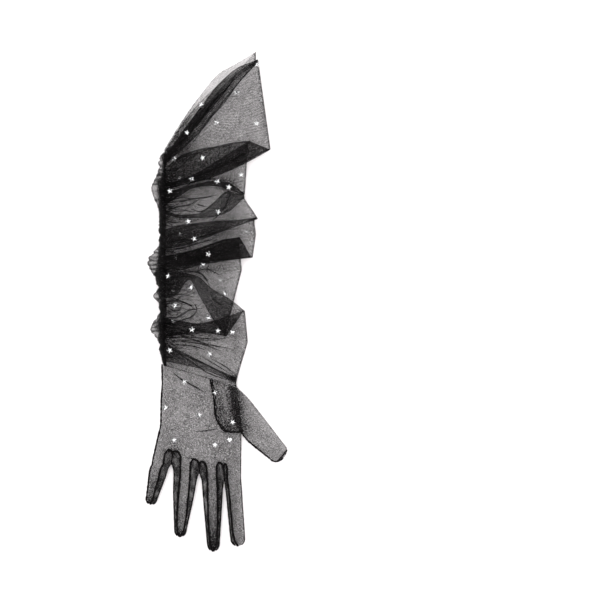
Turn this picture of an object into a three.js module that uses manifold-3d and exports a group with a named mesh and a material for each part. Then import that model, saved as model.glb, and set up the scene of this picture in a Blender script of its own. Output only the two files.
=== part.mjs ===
// A long ruched glove of sheer tulle, lying flat, with fingers towards -Y and its mouth towards +Y.
// The sleeve is one sheet, folded along its right edge and gathered into a seam along its left.
// Lengths are in millimetres, +Z is up.
import * as THREE from 'three';
import { mergeVertices } from 'three/addons/utils/BufferGeometryUtils.js';
import Module from 'manifold-3d';

// Cloth
const WALL = 1.0;
const LAYER_PITCH = 1.8;
const SEAM_GAP = 0.3;
const CUT_TOLERANCE = 0.01;

// Sleeve, measured from the wrist line up and from the gathered seam to the right
const SLEEVE_LENGTH = 350;
const SLEEVE_WIDTH = 110;
const CHANNEL_HALF = 5.5;
const SEAM_HALF = 2.0;
const TABLE_CLEAR = 0.15;
const EDGE_ROUNDING = 8;
const WRIST_SLANT = 0.3;
const WRIST_LINE = 19.5;
const ROW_STEP = 0.8;
const ROW_CLEAR = 0.6;
const ROW_GAP = 0.4;
const FOLD_CLEAR = 0.2;

// Gathered seam
const SEAM_WIDTH = 5.6;
const SEAM_STEPS = 44;
const SEAM_SPAN = [0.066, 0.69];
const SEAM_RISE = [0.45, 0.6];
const SEAM_BULGE = 0.45;
const SEAM_CREST = 0.8;

// Hand
const PALM_WIDTH = 80;
const PALM_LENGTH = 82;
const WRIST_HEIGHT = 2 * CHANNEL_HALF + WALL;
const KNUCKLE_HEIGHT = 9.4;
const FINGER_HEIGHT = 7.8;
const CORNER = 2.6;
const PINKY_LENGTH = 61.5;
const RING_LENGTH = 85.5;
const MIDDLE_LENGTH = 95;
const INDEX_LENGTH = 89.5;
const THUMB_LENGTH = 87.5;
const THUMB_HEIGHT = 13.6;
const THUMB_TIP_HEIGHT = 8.4;
const TIP_WIDTH_SHARE = 0.42;
const TIP_HEIGHT_SHARE = 0.86;
const CORNER_WIDTH_SHARE = 0.8;
const CORNER_HEIGHT_SHARE = 0.42;

// Stars
const STAR_SIZE = 5.2;
const STAR_WAIST = 0.48;
const STAR_THICKNESS = 0.4;

// Colours, as the cloth, the denser joins and the glitter read by eye
const TULLE = { color: 0x4a4648, roughness: 0.85, metalness: 0.0 };
const TULLE_DENSE = { color: 0x1c1a1b, roughness: 0.9, metalness: 0.0 };
const GLITTER = { color: 0xd9dade, roughness: 0.35, metalness: 0.6 };

// Stations across the sleeve at which the tables give a height, from the seam to the folded edge.
const STATIONS = [0, 0.2, 0.4, 0.6, 0.8, 1];

// Each fold has two lines across the sleeve: low, where the cloth turns up, and high, where it
// turns down again. Heights are shares of SLEEVE_LENGTH and reaches are shares of SLEEVE_WIDTH.
// front holds a height for each station, and back for each but the last, which both walls share.
// frontLayers and backLayers say how many layers the cloth lies above the channel wall before,
// inside and after the fold. A back given as one line is not folded there.
const FOLDS = [
  {
    name: 'mouth_roll',
    frontLayers: [2, 3, 4],
    backLayers: [0, 1, 2],
    low: {
      reach: 0.878,
      front: [0.652, 0.7, 0.754, 0.825, 0.895, 0.958],
      back: [0.655, 0.721, 0.79, 0.856, 0.922],
    },
    high: {
      reach: 0.883,
      front: [0.676, 0.751, 0.814, 0.879, 0.93, 0.97],
      back: [0.682, 0.76, 0.835, 0.904, 0.949],
    },
  },
  {
    name: 'upper_fold',
    frontLayers: [4, 3, 2],
    backLayers: [2, 1, 0],
    low: {
      reach: 1,
      front: [0.586, 0.601, 0.616, 0.637, 0.667, 0.7],
      back: [0.583, 0.597, 0.613, 0.636, 0.666],
    },
    high: {
      reach: 0.81,
      front: [0.64, 0.682, 0.7, 0.709, 0.72, 0.727],
      back: [0.598, 0.613, 0.635, 0.666, 0.697],
    },
  },
  {
    name: 'hook_top',
    frontLayers: [4, 3, 2],
    backLayers: [0, 0, 0],
    low: { reach: 0.758, front: [0.532, 0.562, 0.586, 0.591, 0.58, 0.564] },
    high: { reach: 0.758, front: [0.571, 0.583, 0.597, 0.606, 0.6, 0.57] },
    backLine: [0.55, 0.554, 0.56, 0.565, 0.568],
  },
  {
    name: 'hook_tail',
    frontLayers: [2, 1, 0],
    backLayers: [0, 0, 0],
    low: { reach: 0.758, front: [0.507, 0.495, 0.495, 0.498, 0.514, 0.555] },
    high: { reach: 0.758, front: [0.517, 0.505, 0.508, 0.538, 0.576, 0.561] },
    backLine: [0.514, 0.517, 0.521, 0.529, 0.541],
  },
  {
    name: 'wedge_fold',
    frontLayers: [2, 1, 0],
    backLayers: [0, 0, 0],
    low: { reach: 0.883, front: [0.403, 0.411, 0.43, 0.452, 0.472, 0.492] },
    high: { reach: 0.864, front: [0.462, 0.475, 0.482, 0.487, 0.49, 0.498] },
    backLine: [0.448, 0.453, 0.46, 0.469, 0.481],
  },
  {
    name: 'dark_fold',
    frontLayers: [2, 1, 0],
    backLayers: [2, 1, 0],
    low: {
      reach: 0.831,
      front: [0.341, 0.345, 0.354, 0.363, 0.371, 0.377],
      back: [0.347, 0.353, 0.362, 0.368, 0.374],
    },
    high: {
      reach: 0.714,
      front: [0.379, 0.382, 0.393, 0.406, 0.423, 0.439],
      back: [0.382, 0.391, 0.403, 0.418, 0.433],
    },
  },
  {
    name: 'lower_fold',
    frontLayers: [0, 1, 2],
    backLayers: [0, 1, 2],
    low: {
      reach: 0.584,
      front: [0.254, 0.266, 0.311, 0.254, 0.192, 0.141],
      back: [0.14, 0.144, 0.149, 0.152, 0.149],
    },
    high: {
      reach: 0.758,
      front: [0.332, 0.332, 0.324, 0.284, 0.257, 0.219],
      back: [0.197, 0.188, 0.181, 0.188, 0.203],
    },
  },
  {
    name: 'wrist_fold',
    frontLayers: [2, 1, 0],
    backLayers: [0, 0, 0],
    low: { reach: 0.679, front: [0.068, 0.06, 0.051, 0.039, 0.021, 0.003] },
    high: { reach: 0.679, front: [0.123, 0.102, 0.08, 0.059, 0.038, 0.018] },
    backLine: [0.088, 0.078, 0.065, 0.048, 0.029],
  },
];

// Lines that only shape the outline between two folds; after names the fold above.
const WAISTS = [
  { after: 'dark_fold', reach: 0.744, front: [0.336, 0.338, 0.338, 0.339, 0.34, 0.341] },
  { after: 'lower_fold', reach: 0.779, front: [0.134, 0.131, 0.128, 0.126, 0.125, 0.125] },
];

const MOUTH = {
  reach: 0.869,
  front: [0.694, 0.778, 0.843, 0.895, 0.934, 0.994],
  back: [0.703, 0.793, 0.868, 0.931, 0.961],
};
const WRIST_REACH = 0.687;

// The puffs that stand out of the gathered seam: place and half length are shares of
// SLEEVE_LENGTH, out is a share of SLEEVE_WIDTH.
const PUFFS = [
  { at: 0.58, half: 0.072, out: 0.076 },
  { at: 0.365, half: 0.06, out: 0.105 },
  { at: 0.263, half: 0.027, out: 0.057 },
  { at: 0.167, half: 0.045, out: 0.086 },
];

// Heights, as shares of SLEEVE_LENGTH, between which the sleeve lifts off the table.
const LIFT_SPAN = [0.05, 0.114];

// Shares of the sleeve's width at which the seam's opening is full and the folded edge begins.
const FULL_OPENING = 0.12;
const EDGE_START = 0.8;

// Palm sections: down is a share of PALM_LENGTH below the wrist line, left and right are shares
// of PALM_WIDTH from the seam line.
const PALM = [
  { down: -0.4, left: -0.04, right: 0.952 },
  { down: 0, left: -0.032, right: 0.952 },
  { down: 0.22, left: -0.046, right: 0.965 },
  { down: 0.53, left: -0.052, right: 0.998 },
  { down: 0.76, left: -0.107, right: 0.998 },
  { down: 1, left: -0.164, right: 0.995 },
];

// Fingers: root is the place of the finger's start in shares of PALM_WIDTH and PALM_LENGTH,
// lean is in degrees to the right of straight down, and widths are shares of PALM_WIDTH at the
// root, middle and nail.
const FINGERS = [
  { length: PINKY_LENGTH, root: [-0.006, 0.81], lean: -13.8, widths: [0.262, 0.216, 0.14] },
  { length: RING_LENGTH, root: [0.295, 0.915], lean: -5.3, widths: [0.35, 0.265, 0.155] },
  { length: MIDDLE_LENGTH, root: [0.624, 0.98], lean: 0.6, widths: [0.312, 0.23, 0.157] },
  { length: INDEX_LENGTH, root: [0.872, 0.985], lean: 4.7, widths: [0.222, 0.197, 0.184] },
];
const FINGER_STEPS = [0, 0.25, 0.5, 0.72, 0.9, 0.96, 1];
const NAIL = 0.9;

// A fourchette takes a strip of each of its two fingers. FACE_HALF is half the width of the face
// that stays with the hand, and each crown is the top of an arch above the finger roots.
const FACE_HALF = 5.4;
const FOURCHETTE_CROWNS = [14, 10, 9];

// The face narrows towards the fingertip: place as a share of the finger, width of FACE_HALF.
const FACE_TAPER = [
  { at: 0.06, wide: 1 },
  { at: 0.774, wide: 0.75 },
  { at: 0.86, wide: 0.45 },
];
const FACE_END = { at: 1.1, half: 0.2 };

const THUMB = { root: [0.79, 0.185], lean: 44.3, widths: [0.487, 0.369, 0.262] };
// The U of the thumb's inset seam on the palm, in shares of PALM_WIDTH and PALM_LENGTH.
const THUMB_INSET = [
  [0.596, -0.13],
  [0.648, 0.206],
  [0.663, 0.397],
  [0.775, 0.603],
  [0.897, 0.617],
  [1.01, 0.63],
];
// Where the thumb leaves the palm, in the same shares, and the step out at its lower corner.
const THUMB_EDGE = [0.93, 0.63];
const THUMB_STEP = 6;

// Stars, as shares of SLEEVE_WIDTH and SLEEVE_LENGTH from the wrist corner.
const STARS = [
  [0.886, 0.953], [0.689, 0.868], [0.874, 0.777], [0.5, 0.778], [0.217, 0.748],
  [0.351, 0.832], [0.097, 0.671], [0.367, 0.673], [0.729, 0.624], [0.263, 0.611],
  [0.056, 0.575], [0.614, 0.586], [0.505, 0.604], [0.511, 0.513], [0.228, 0.484],
  [0.285, 0.433], [0.42, 0.387], [0.369, 0.353], [0.04, 0.321], [0.256, 0.288],
  [0.579, 0.27], [0.101, 0.233], [0.42, 0.198], [0.649, 0.155], [0.264, 0.162],
  [0.511, 0.158], [0.053, 0.1], [0.431, 0.089], [0.191, 0.005], [0.485, -0.026],
  [0.01, -0.072], [0.328, -0.093], [0.649, -0.115], [0.48, -0.183], [0.093, -0.169],
];

const wasm = await Module();
wasm.setup();

const lerp = THREE.MathUtils.lerp;
const smooth = (a, b, t) => THREE.MathUtils.smoothstep(t, a, b);

// The value of a table row at a share s of the way from the seam to the folded edge.
function atStation(values, s) {
  const last = STATIONS.length - 1;
  let i = 0;
  while (i < last - 1 && s > STATIONS[i + 1]) i += 1;
  const f = (s - STATIONS[i]) / (STATIONS[i + 1] - STATIONS[i]);
  return lerp(values[i], values[i + 1], f);
}

// Columns of the sleeve's grid: along the front to the folded edge, then back along the back.
// blend is how much of the front's layering a column takes.
const COLUMN_SHARES = [0, 0.1, 0.2, 0.4, 0.6, 0.8, 0.9, 0.96];
function sleeveColumns() {
  const fade = (s) => 0.5 * smooth(EDGE_START, 1, s);
  const front = COLUMN_SHARES.map((s) => ({ side: 1, s, blend: 1 - fade(s) }));
  const back = COLUMN_SHARES.map((s) => ({ side: -1, s, blend: fade(s) }));
  return [...front, { side: 0, s: 1, blend: 0.5 }, ...back.reverse()];
}

// Height above the wrist line of a table line at a column.
function lineHeight(line, column) {
  if (column.side >= 0) return SLEEVE_LENGTH * atStation(line.front, column.s);
  const tip = line.front[line.front.length - 1];
  return SLEEVE_LENGTH * atStation([...line.back, tip], column.s);
}

// The six rows of a fold at a column: three round the low roll and three round the high one.
function foldRows(fold, column) {
  const mix = (a, b) => b + (a - b) * column.blend;
  const layers = fold.frontLayers.map((value, i) => mix(value, fold.backLayers[i]));
  const turn = Math.abs(layers[1] - layers[0]);
  const roll = (turn * LAYER_PITCH) / 2;
  const loose = (1 - turn) * ROW_STEP;
  const flat = (line, sign) => {
    if (line.back || !fold.backLine) return line;
    const shift = (2 * sign * ROW_STEP) / SLEEVE_LENGTH;
    return { ...line, back: fold.backLine.map((value) => value + shift) };
  };
  const low = lineHeight(flat(fold.low, 1), column);
  const least = low + turn * (LAYER_PITCH + FOLD_CLEAR) - (1 - turn) * 4 * ROW_STEP;
  const high = Math.max(lineHeight(flat(fold.high, -1), column), least);
  const lowLayer = (layers[0] + layers[1]) / 2;
  const highLayer = (layers[1] + layers[2]) / 2;
  const atLow = { reach: fold.low.reach, ref: lowLayer };
  const atHigh = { reach: fold.high.reach, ref: highLayer };
  return [
    { y: low + roll + loose, layer: layers[0], ...atLow },
    { y: low, layer: lowLayer, ...atLow },
    { y: low + roll - loose, layer: layers[1], ...atLow },
    { y: high - roll + loose, layer: layers[1], ...atHigh },
    { y: high, layer: highLayer, ...atHigh },
    { y: high - roll - loose, layer: layers[2], ...atHigh },
  ];
}

// The rows of the panel between two folds. Its layer changes only where neither fold covers it.
function panelRows(above, below, waist, column, middle) {
  const from = above[5];
  const to = below[0];
  let start = Math.min(above[1].y, from.y) - ROW_CLEAR;
  let end = Math.max(below[4].y, to.y) + ROW_CLEAR;
  if (start - end < 2 * ROW_GAP) {
    const mean = (start + end) / 2;
    start = mean + ROW_GAP;
    end = mean - ROW_GAP;
  }
  const shares = Array.from({ length: middle }, (unused, i) => (i + 1) / (middle + 1));
  const heights = shares.map((f) => lerp(start, end, f));
  if (waist) {
    const wanted = lineHeight({ ...waist, back: waist.front.slice(0, -1) }, column);
    const least = heights[heights.length - 1] + ROW_GAP;
    heights[0] = THREE.MathUtils.clamp(wanted, least, start - ROW_GAP);
  }
  return [start, ...heights, end].map((y) => {
    const f = (start - y) / (start - end);
    return { y, layer: lerp(from.layer, to.layer, smooth(0, 1, f)) };
  });
}

// All rows of the sleeve at a column, from the mouth down to the wrist.
function columnRows(column) {
  const folds = FOLDS.map((fold) => foldRows(fold, column));
  const mix = (fold, i) => {
    const back = fold.backLayers[i];
    return back + (fold.frontLayers[i] - back) * column.blend;
  };
  const top = { y: lineHeight(MOUTH, column), layer: mix(FOLDS[0], 0), reach: MOUTH.reach };
  const rows = [{ ...top, ref: top.layer }];
  const lead = { y: lerp(top.y, folds[0][0].y, 0.5), layer: top.layer };
  rows.push(lead, ...folds[0]);
  for (let i = 1; i < folds.length; i += 1) {
    const waist = WAISTS.find((item) => item.after === FOLDS[i - 1].name);
    const panel = panelRows(folds[i - 1], folds[i], waist, column, 2);
    if (waist) Object.assign(panel[1], { reach: waist.reach, ref: panel[1].layer });
    rows.push(...panel, ...folds[i]);
  }
  const last = folds[folds.length - 1];
  const wrist = { y: wristHeight(column.s * WRIST_REACH * SLEEVE_WIDTH) + SEAM_GAP, layer: 0 };
  const after = Math.min(last[1].y, last[5].y) - ROW_CLEAR;
  rows.push({ y: Math.max(after, wrist.y + ROW_GAP), layer: 0 });
  rows.push({ ...wrist, reach: WRIST_REACH, ref: 0 });
  return rows;
}

// The slanted wrist line: its height at a distance x from the seam.
function wristHeight(x) {
  return WRIST_LINE - WRIST_SLANT * x;
}

// Rows without a reach of their own take it from their neighbours, by height at the folded edge.
function fillReach(rows, edgeRows) {
  const fixed = edgeRows.map((row, i) => (row.reach === undefined ? -1 : i)).filter((i) => i >= 0);
  return rows.map((row, i) => {
    if (row.reach !== undefined) return row;
    const before = Math.max(...fixed.filter((j) => j < i));
    const next = Math.min(...fixed.filter((j) => j > i));
    const span = edgeRows[before].y - edgeRows[next].y;
    const f = (edgeRows[before].y - edgeRows[i].y) / span;
    return {
      ...row,
      reach: lerp(rows[before].reach, rows[next].reach, f),
      ref: lerp(rows[before].ref, rows[next].ref, f),
    };
  });
}

// Height of the sleeve's middle plane: the sleeve lies on its own folds, the wrist on the table.
function middleHeight(y) {
  const lift = (2 * LAYER_PITCH + TABLE_CLEAR) * smooth(...LIFT_SPAN, y / SLEEVE_LENGTH);
  return WRIST_HEIGHT / 2 + lift;
}

function sleevePoint(row, column) {
  const edge = SLEEVE_WIDTH * row.reach + (row.layer - row.ref) * LAYER_PITCH;
  const round = Math.sqrt(Math.max(0, 1 - column.s ** EDGE_ROUNDING));
  const open = lerp(SEAM_HALF, CHANNEL_HALF, smooth(0, FULL_OPENING, column.s));
  const z = column.side * (open + row.layer * LAYER_PITCH) * round;
  return new THREE.Vector3(column.s * edge, row.y, middleHeight(row.y) + z);
}

// Least cosine that widens a sheet's offset where its faces meet at an angle.
const SHARPEST = 0.7;

// A closed solid from a grid of points: the sheet is thickened by half a wall to each side.
function thickSheet(grid, wall) {
  const rows = grid.length;
  const cols = grid[0].length;
  const faceNormal = (i, j) => {
    const across = new THREE.Vector3().subVectors(grid[i][j + 1], grid[i][j]);
    across.add(grid[i + 1][j + 1]).sub(grid[i + 1][j]);
    const down = new THREE.Vector3().subVectors(grid[i + 1][j], grid[i][j]);
    down.add(grid[i + 1][j + 1]).sub(grid[i][j + 1]);
    return down.cross(across).normalize();
  };
  const positions = [];
  const outer = [];
  for (let side = 1; side >= -1; side -= 2) {
    for (let i = 0; i < rows; i += 1) {
      for (let j = 0; j < cols; j += 1) {
        const around = [];
        for (const a of [i - 1, i]) {
          for (const b of [j - 1, j]) {
            if (a >= 0 && b >= 0 && a < rows - 1 && b < cols - 1) around.push(faceNormal(a, b));
          }
        }
        const normal = around.reduce((sum, n) => sum.add(n), new THREE.Vector3()).normalize();
        const lean = Math.min(...around.map((n) => n.dot(normal)));
        const reach = (side * wall) / 2 / Math.max(SHARPEST, lean);
        outer.push(grid[i][j].clone().addScaledVector(normal, reach));
      }
    }
  }
  outer.forEach((p) => positions.push(p.x, p.y, p.z));
  const at = (i, j, layer) => layer * rows * cols + i * cols + j;
  const index = [];
  const quad = (a, b, c, d) => index.push(a, b, c, a, c, d);
  for (let i = 0; i < rows - 1; i += 1) {
    for (let j = 0; j < cols - 1; j += 1) {
      quad(at(i, j, 0), at(i + 1, j, 0), at(i + 1, j + 1, 0), at(i, j + 1, 0));
      quad(at(i, j, 1), at(i, j + 1, 1), at(i + 1, j + 1, 1), at(i + 1, j, 1));
    }
  }
  for (let i = 0; i < rows - 1; i += 1) {
    quad(at(i, 0, 0), at(i, 0, 1), at(i + 1, 0, 1), at(i + 1, 0, 0));
    quad(at(i, cols - 1, 0), at(i + 1, cols - 1, 0), at(i + 1, cols - 1, 1), at(i, cols - 1, 1));
  }
  for (let j = 0; j < cols - 1; j += 1) {
    quad(at(0, j, 0), at(0, j + 1, 0), at(0, j + 1, 1), at(0, j, 1));
    quad(at(rows - 1, j, 0), at(rows - 1, j, 1), at(rows - 1, j + 1, 1), at(rows - 1, j + 1, 0));
  }
  return meshGeometry(positions, index);
}

function meshGeometry(positions, index) {
  const geometry = new THREE.BufferGeometry();
  geometry.setAttribute('position', new THREE.Float32BufferAttribute(positions, 3));
  geometry.setIndex(index);
  return geometry;
}

// A closed solid through rings of points, each ring with the same count, capped at both ends.
function ringLoft(rings) {
  const count = rings[0].length;
  const positions = rings.flat().flatMap((p) => [p.x, p.y, p.z]);
  const index = [];
  for (let i = 0; i < rings.length - 1; i += 1) {
    for (let j = 0; j < count; j += 1) {
      const a = i * count + j;
      const b = i * count + ((j + 1) % count);
      index.push(a, a + count, b + count, a, b + count, b);
    }
  }
  const lastRing = (rings.length - 1) * count;
  for (let j = 1; j < count - 1; j += 1) {
    index.push(0, j, j + 1);
    index.push(lastRing, lastRing + j + 1, lastRing + j);
  }
  return meshGeometry(positions, index);
}

function toManifold(geometry) {
  const bare = geometry.clone();
  bare.deleteAttribute('normal');
  bare.deleteAttribute('uv');
  const merged = mergeVertices(bare, 1e-4);
  const vertProperties = new Float32Array(merged.attributes.position.array);
  const triVerts = new Uint32Array(merged.index.array);
  const solid = new wasm.Manifold(new wasm.Mesh({ numProp: 3, vertProperties, triVerts }));
  return solid.volume() < 0 ? flipped(vertProperties, triVerts) : solid;
}

function flipped(vertProperties, triVerts) {
  const turned = triVerts.slice();
  for (let i = 0; i < turned.length; i += 3) {
    turned[i + 1] = triVerts[i + 2];
    turned[i + 2] = triVerts[i + 1];
  }
  return new wasm.Manifold(new wasm.Mesh({ numProp: 3, vertProperties, triVerts: turned }));
}

// A solid's mesh, without the tiny edges that cuts leave.
function fromManifold(solid) {
  const mesh = solid.simplify(CUT_TOLERANCE).getMesh();
  const positions = [];
  for (let i = 0; i < mesh.vertProperties.length; i += mesh.numProp) {
    positions.push(mesh.vertProperties[i], mesh.vertProperties[i + 1], mesh.vertProperties[i + 2]);
  }
  return meshGeometry(positions, Array.from(mesh.triVerts));
}

// A flat-bottomed tube section: a rectangle with three-point corners, set across a direction.
function section(centre, direction, half, bottom, top) {
  const across = new THREE.Vector3(-direction.y, direction.x, 0);
  const r = Math.min(CORNER, half * CORNER_WIDTH_SHARE, (top - bottom) * CORNER_HEIGHT_SHARE);
  const outline = [];
  const corners = [[1, bottom + r, -1], [1, top - r, 1], [-1, top - r, 1], [-1, bottom + r, -1]];
  corners.forEach(([side, z, up], n) => {
    const arc = [0, 0.5, 1].map((f) => {
      const turn = ((n % 2 === 0 ? 1 - f : f) * Math.PI) / 2;
      return [side * (half - r + r * Math.cos(turn)), z + up * r * Math.sin(turn)];
    });
    outline.push(...arc);
  });
  return outline.map(([u, z]) => centre.clone().addScaledVector(across, u).setZ(z));
}

// The width of a finger or thumb at a share f of its length, closing round past the nail.
function fingerWidth(widths, f) {
  const [root, middle, nail] = widths.map((share) => share * PALM_WIDTH);
  if (f <= 0.5) return lerp(root, middle, f / 0.5);
  if (f <= NAIL) return lerp(middle, nail, (f - 0.5) / (NAIL - 0.5));
  const past = (f - NAIL) / (1 - NAIL);
  return nail * lerp(TIP_WIDTH_SHARE, 1, Math.sqrt(Math.max(0, 1 - past * past)));
}

// A finger's tube; inset makes the same tube smaller by a wall all round.
function fingerTube(finger, heights, inset) {
  const angle = THREE.MathUtils.degToRad(finger.lean);
  const direction = new THREE.Vector3(Math.sin(angle), -Math.cos(angle), 0);
  const root = rootPoint(finger.root).addScaledVector(direction, inset);
  const length = finger.length - 2 * inset;
  const rings = FINGER_STEPS.map((f) => {
    const centre = root.clone().addScaledVector(direction, f * length);
    const half = fingerWidth(finger.widths, f) / 2 - inset;
    const tall = lerp(heights[0], heights[1], f) * lerp(1, TIP_HEIGHT_SHARE, smooth(NAIL, 1, f));
    return section(centre, direction, half, inset, tall - inset);
  });
  return toManifold(ringLoft(rings));
}

function rootPoint([across, down]) {
  return new THREE.Vector3(across * PALM_WIDTH, -down * PALM_LENGTH, 0);
}

function palmTube(inset) {
  const down = new THREE.Vector3(0, -1, 0);
  const rings = PALM.map((row) => {
    const left = row.left * PALM_WIDTH;
    const right = row.right * PALM_WIDTH;
    const centre = new THREE.Vector3((left + right) / 2, -row.down * PALM_LENGTH, 0);
    const top = lerp(WRIST_HEIGHT, KNUCKLE_HEIGHT, THREE.MathUtils.clamp(row.down, 0, 1));
    return section(centre, down, (right - left) / 2 - inset, inset, top - inset);
  });
  return toManifold(ringLoft(rings));
}

// The whole hand as one body, solid or smaller by a wall.
function handBody(inset) {
  const tubes = FINGERS.map((finger) => fingerTube(finger, [KNUCKLE_HEIGHT, FINGER_HEIGHT], inset));
  const thumb = { ...THUMB, length: THUMB_LENGTH };
  tubes.push(fingerTube(thumb, [THUMB_HEIGHT, THUMB_TIP_HEIGHT], inset));
  return tubes.reduce((sum, tube) => sum.add(tube), palmTube(inset));
}

const FAR = 400;

// An upright prism over an outline, from one height to another.
function prism(outline, bottom, top) {
  const shape = new THREE.Shape(outline.map(([x, y]) => new THREE.Vector2(x, y)));
  const geometry = new THREE.ExtrudeGeometry(shape, { depth: top - bottom, bevelEnabled: false });
  geometry.translate(0, 0, bottom);
  return toManifold(geometry);
}

// The space above the slanted wrist line, which opens the hand.
function aboveWrist() {
  const outline = [
    [-FAR, wristHeight(-FAR)],
    [FAR, wristHeight(FAR)],
    [FAR, FAR],
    [-FAR, FAR],
  ];
  return prism(outline, -FAR, FAR);
}

// The strip between two fingers that their fourchette covers, wider by grow on its inner edges.
function fourchetteSpace(left, right, crown, grow) {
  const along = (finger, f, offset) => {
    const angle = THREE.MathUtils.degToRad(finger.lean);
    const root = rootPoint(finger.root);
    const x = root.x + Math.sin(angle) * f * finger.length + Math.cos(angle) * offset;
    const y = root.y - Math.cos(angle) * f * finger.length + Math.sin(angle) * offset;
    return [x, y];
  };
  const face = FACE_HALF - grow;
  const rightRoot = along(right, 0, -face);
  const leftRoot = along(left, 0, face);
  const top = Math.min(leftRoot[1], rightRoot[1]) + crown + grow;
  const arch = [(leftRoot[0] + rightRoot[0]) / 2, top];
  const end = grow > 0 ? -FACE_END.half : FACE_END.half;
  return [
    arch,
    ...FACE_TAPER.map(({ at, wide }) => along(left, at, face * wide)),
    along(left, FACE_END.at, end),
    along(right, FACE_END.at, -end),
    ...FACE_TAPER.map(({ at, wide }) => along(right, at, -face * wide)).reverse(),
  ];
}

// The thumb's piece: its inset on the palm side and all that stands out beyond the palm's edge.
function thumbSpace(grow) {
  const mid = WRIST_HEIGHT / 2;
  const points = THUMB_INSET.map(([x, y]) => [x * PALM_WIDTH - grow, -y * PALM_LENGTH - grow]);
  const far = [[FAR / 2, -FAR / 2], [FAR / 2, FAR / 2], [points[0][0], FAR / 2]];
  const inset = prism([...points, ...far], mid - grow, FAR);
  const edge = THUMB_EDGE[0] * PALM_WIDTH - grow;
  const low = -THUMB_EDGE[1] * PALM_LENGTH - grow;
  const beyond = [
    [edge, FAR / 2],
    [edge, low],
    [edge + THUMB_STEP, low],
    [FAR / 2, low - FAR / 2],
    [FAR / 2, FAR / 2],
  ];
  return inset.add(prism(beyond, -FAR, FAR));
}

// The main body of a cut, without slivers that rounding leaves beside it.
function mainBody(solid) {
  return solid.decompose().reduce((best, body) => (body.volume() > best.volume() ? body : best));
}

function handPieces() {
  const shell = handBody(0).subtract(handBody(WALL)).subtract(aboveWrist());
  const thumb = shell.intersect(thumbSpace(0));
  let hand = shell.subtract(thumbSpace(SEAM_GAP));
  const fourchettes = FOURCHETTE_CROWNS.map((crown, i) => {
    const space = fourchetteSpace(FINGERS[i], FINGERS[i + 1], crown, 0);
    return mainBody(hand.intersect(prism(space, -FAR, FAR)));
  });
  FOURCHETTE_CROWNS.forEach((crown, i) => {
    const space = fourchetteSpace(FINGERS[i], FINGERS[i + 1], crown, SEAM_GAP);
    hand = hand.subtract(prism(space, -FAR, FAR));
  });
  return { hand: mainBody(hand), thumb: mainBody(thumb), fourchettes };
}

// How far the gathered seam stands out to the left at a height above the wrist line.
function seamReach(y) {
  const share = y / SLEEVE_LENGTH;
  const puff = PUFFS.reduce((sum, item) => {
    const d = Math.abs(share - item.at) / item.half;
    return d < 1 ? sum + item.out * SLEEVE_WIDTH * Math.cos((d * Math.PI) / 2) ** 2 : sum;
  }, 0);
  return SEAM_WIDTH + puff;
}

function gatheredSeam() {
  const [from, to] = SEAM_SPAN.map((share) => share * SLEEVE_LENGTH);
  const right = -(SEAM_GAP + WALL / 2);
  const rings = Array.from({ length: SEAM_STEPS + 1 }, (unused, i) => {
    const y = lerp(from, to, i / SEAM_STEPS);
    const centre = middleHeight(y);
    const layers = lerp(2, 4, smooth(...SEAM_RISE, y / SLEEVE_LENGTH));
    const top = SEAM_HALF + layers * LAYER_PITCH + WALL / 2;
    const low = SEAM_HALF + 2 * LAYER_PITCH + WALL / 2;
    const out = seamReach(y);
    const shape = [
      [right, -low],
      [right, top],
      [-SEAM_WIDTH * SEAM_CREST, top],
      [-(SEAM_WIDTH + out) / 2, top * SEAM_BULGE],
      [-out, WALL / 2],
      [-out, -WALL / 2],
      [-(SEAM_WIDTH + out) / 2, -low * SEAM_BULGE],
      [-SEAM_WIDTH * SEAM_CREST, -low],
    ];
    return shape.map(([x, z]) => new THREE.Vector3(x, y, centre + z));
  });
  return ringLoft(rings);
}

function starShape() {
  const shape = new THREE.Shape();
  for (let i = 0; i < 10; i += 1) {
    const radius = (STAR_SIZE / 2) * (i % 2 === 0 ? 1 : STAR_WAIST);
    const angle = Math.PI / 2 + (i * Math.PI) / 5;
    shape[i === 0 ? 'moveTo' : 'lineTo'](radius * Math.cos(angle), radius * Math.sin(angle));
  }
  shape.closePath();
  return new THREE.ExtrudeGeometry(shape, { depth: STAR_THICKNESS, bevelEnabled: false });
}

// The highest point of the cloth under a star's outline.
function clothTop(meshes, x, y, outline) {
  const ray = new THREE.Raycaster();
  const down = new THREE.Vector3(0, 0, -1);
  let top = -Infinity;
  for (let i = 0; i < outline.count; i += 1) {
    ray.set(new THREE.Vector3(x + outline.getX(i), y + outline.getY(i), FAR), down);
    const hit = ray.intersectObjects(meshes, false)[0];
    if (hit) top = Math.max(top, hit.point.z);
  }
  return top;
}

function clothMesh(name, geometry, finish) {
  const mesh = new THREE.Mesh(geometry, new THREE.MeshStandardMaterial(finish));
  mesh.name = name;
  mesh.material.side = THREE.DoubleSide;
  return mesh;
}

function sleeve() {
  const columns = sleeveColumns();
  const edgeRows = columnRows(columns.find((column) => column.side === 0));
  const lines = columns.map((column) => fillReach(columnRows(column), edgeRows));
  const grid = edgeRows.map((unused, i) => (
    columns.map((column, j) => sleevePoint(lines[j][i], column))
  ));
  return thickSheet(grid, WALL);
}

const glove = new THREE.Group();
const sleeveMesh = clothMesh('sleeve', sleeve(), TULLE);
const pieces = handPieces();
const handMesh = clothMesh('hand', fromManifold(pieces.hand), TULLE);
const thumbMesh = clothMesh('thumb', fromManifold(pieces.thumb), TULLE);
const fourchetteMeshes = pieces.fourchettes.map((piece, i) => (
  clothMesh(`fourchette_${i + 1}`, fromManifold(piece), TULLE_DENSE)
));
const seamMesh = clothMesh('gathered_seam', gatheredSeam(), TULLE_DENSE);
const clothMeshes = [sleeveMesh, handMesh, thumbMesh, ...fourchetteMeshes, seamMesh];
glove.add(...clothMeshes);

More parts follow.
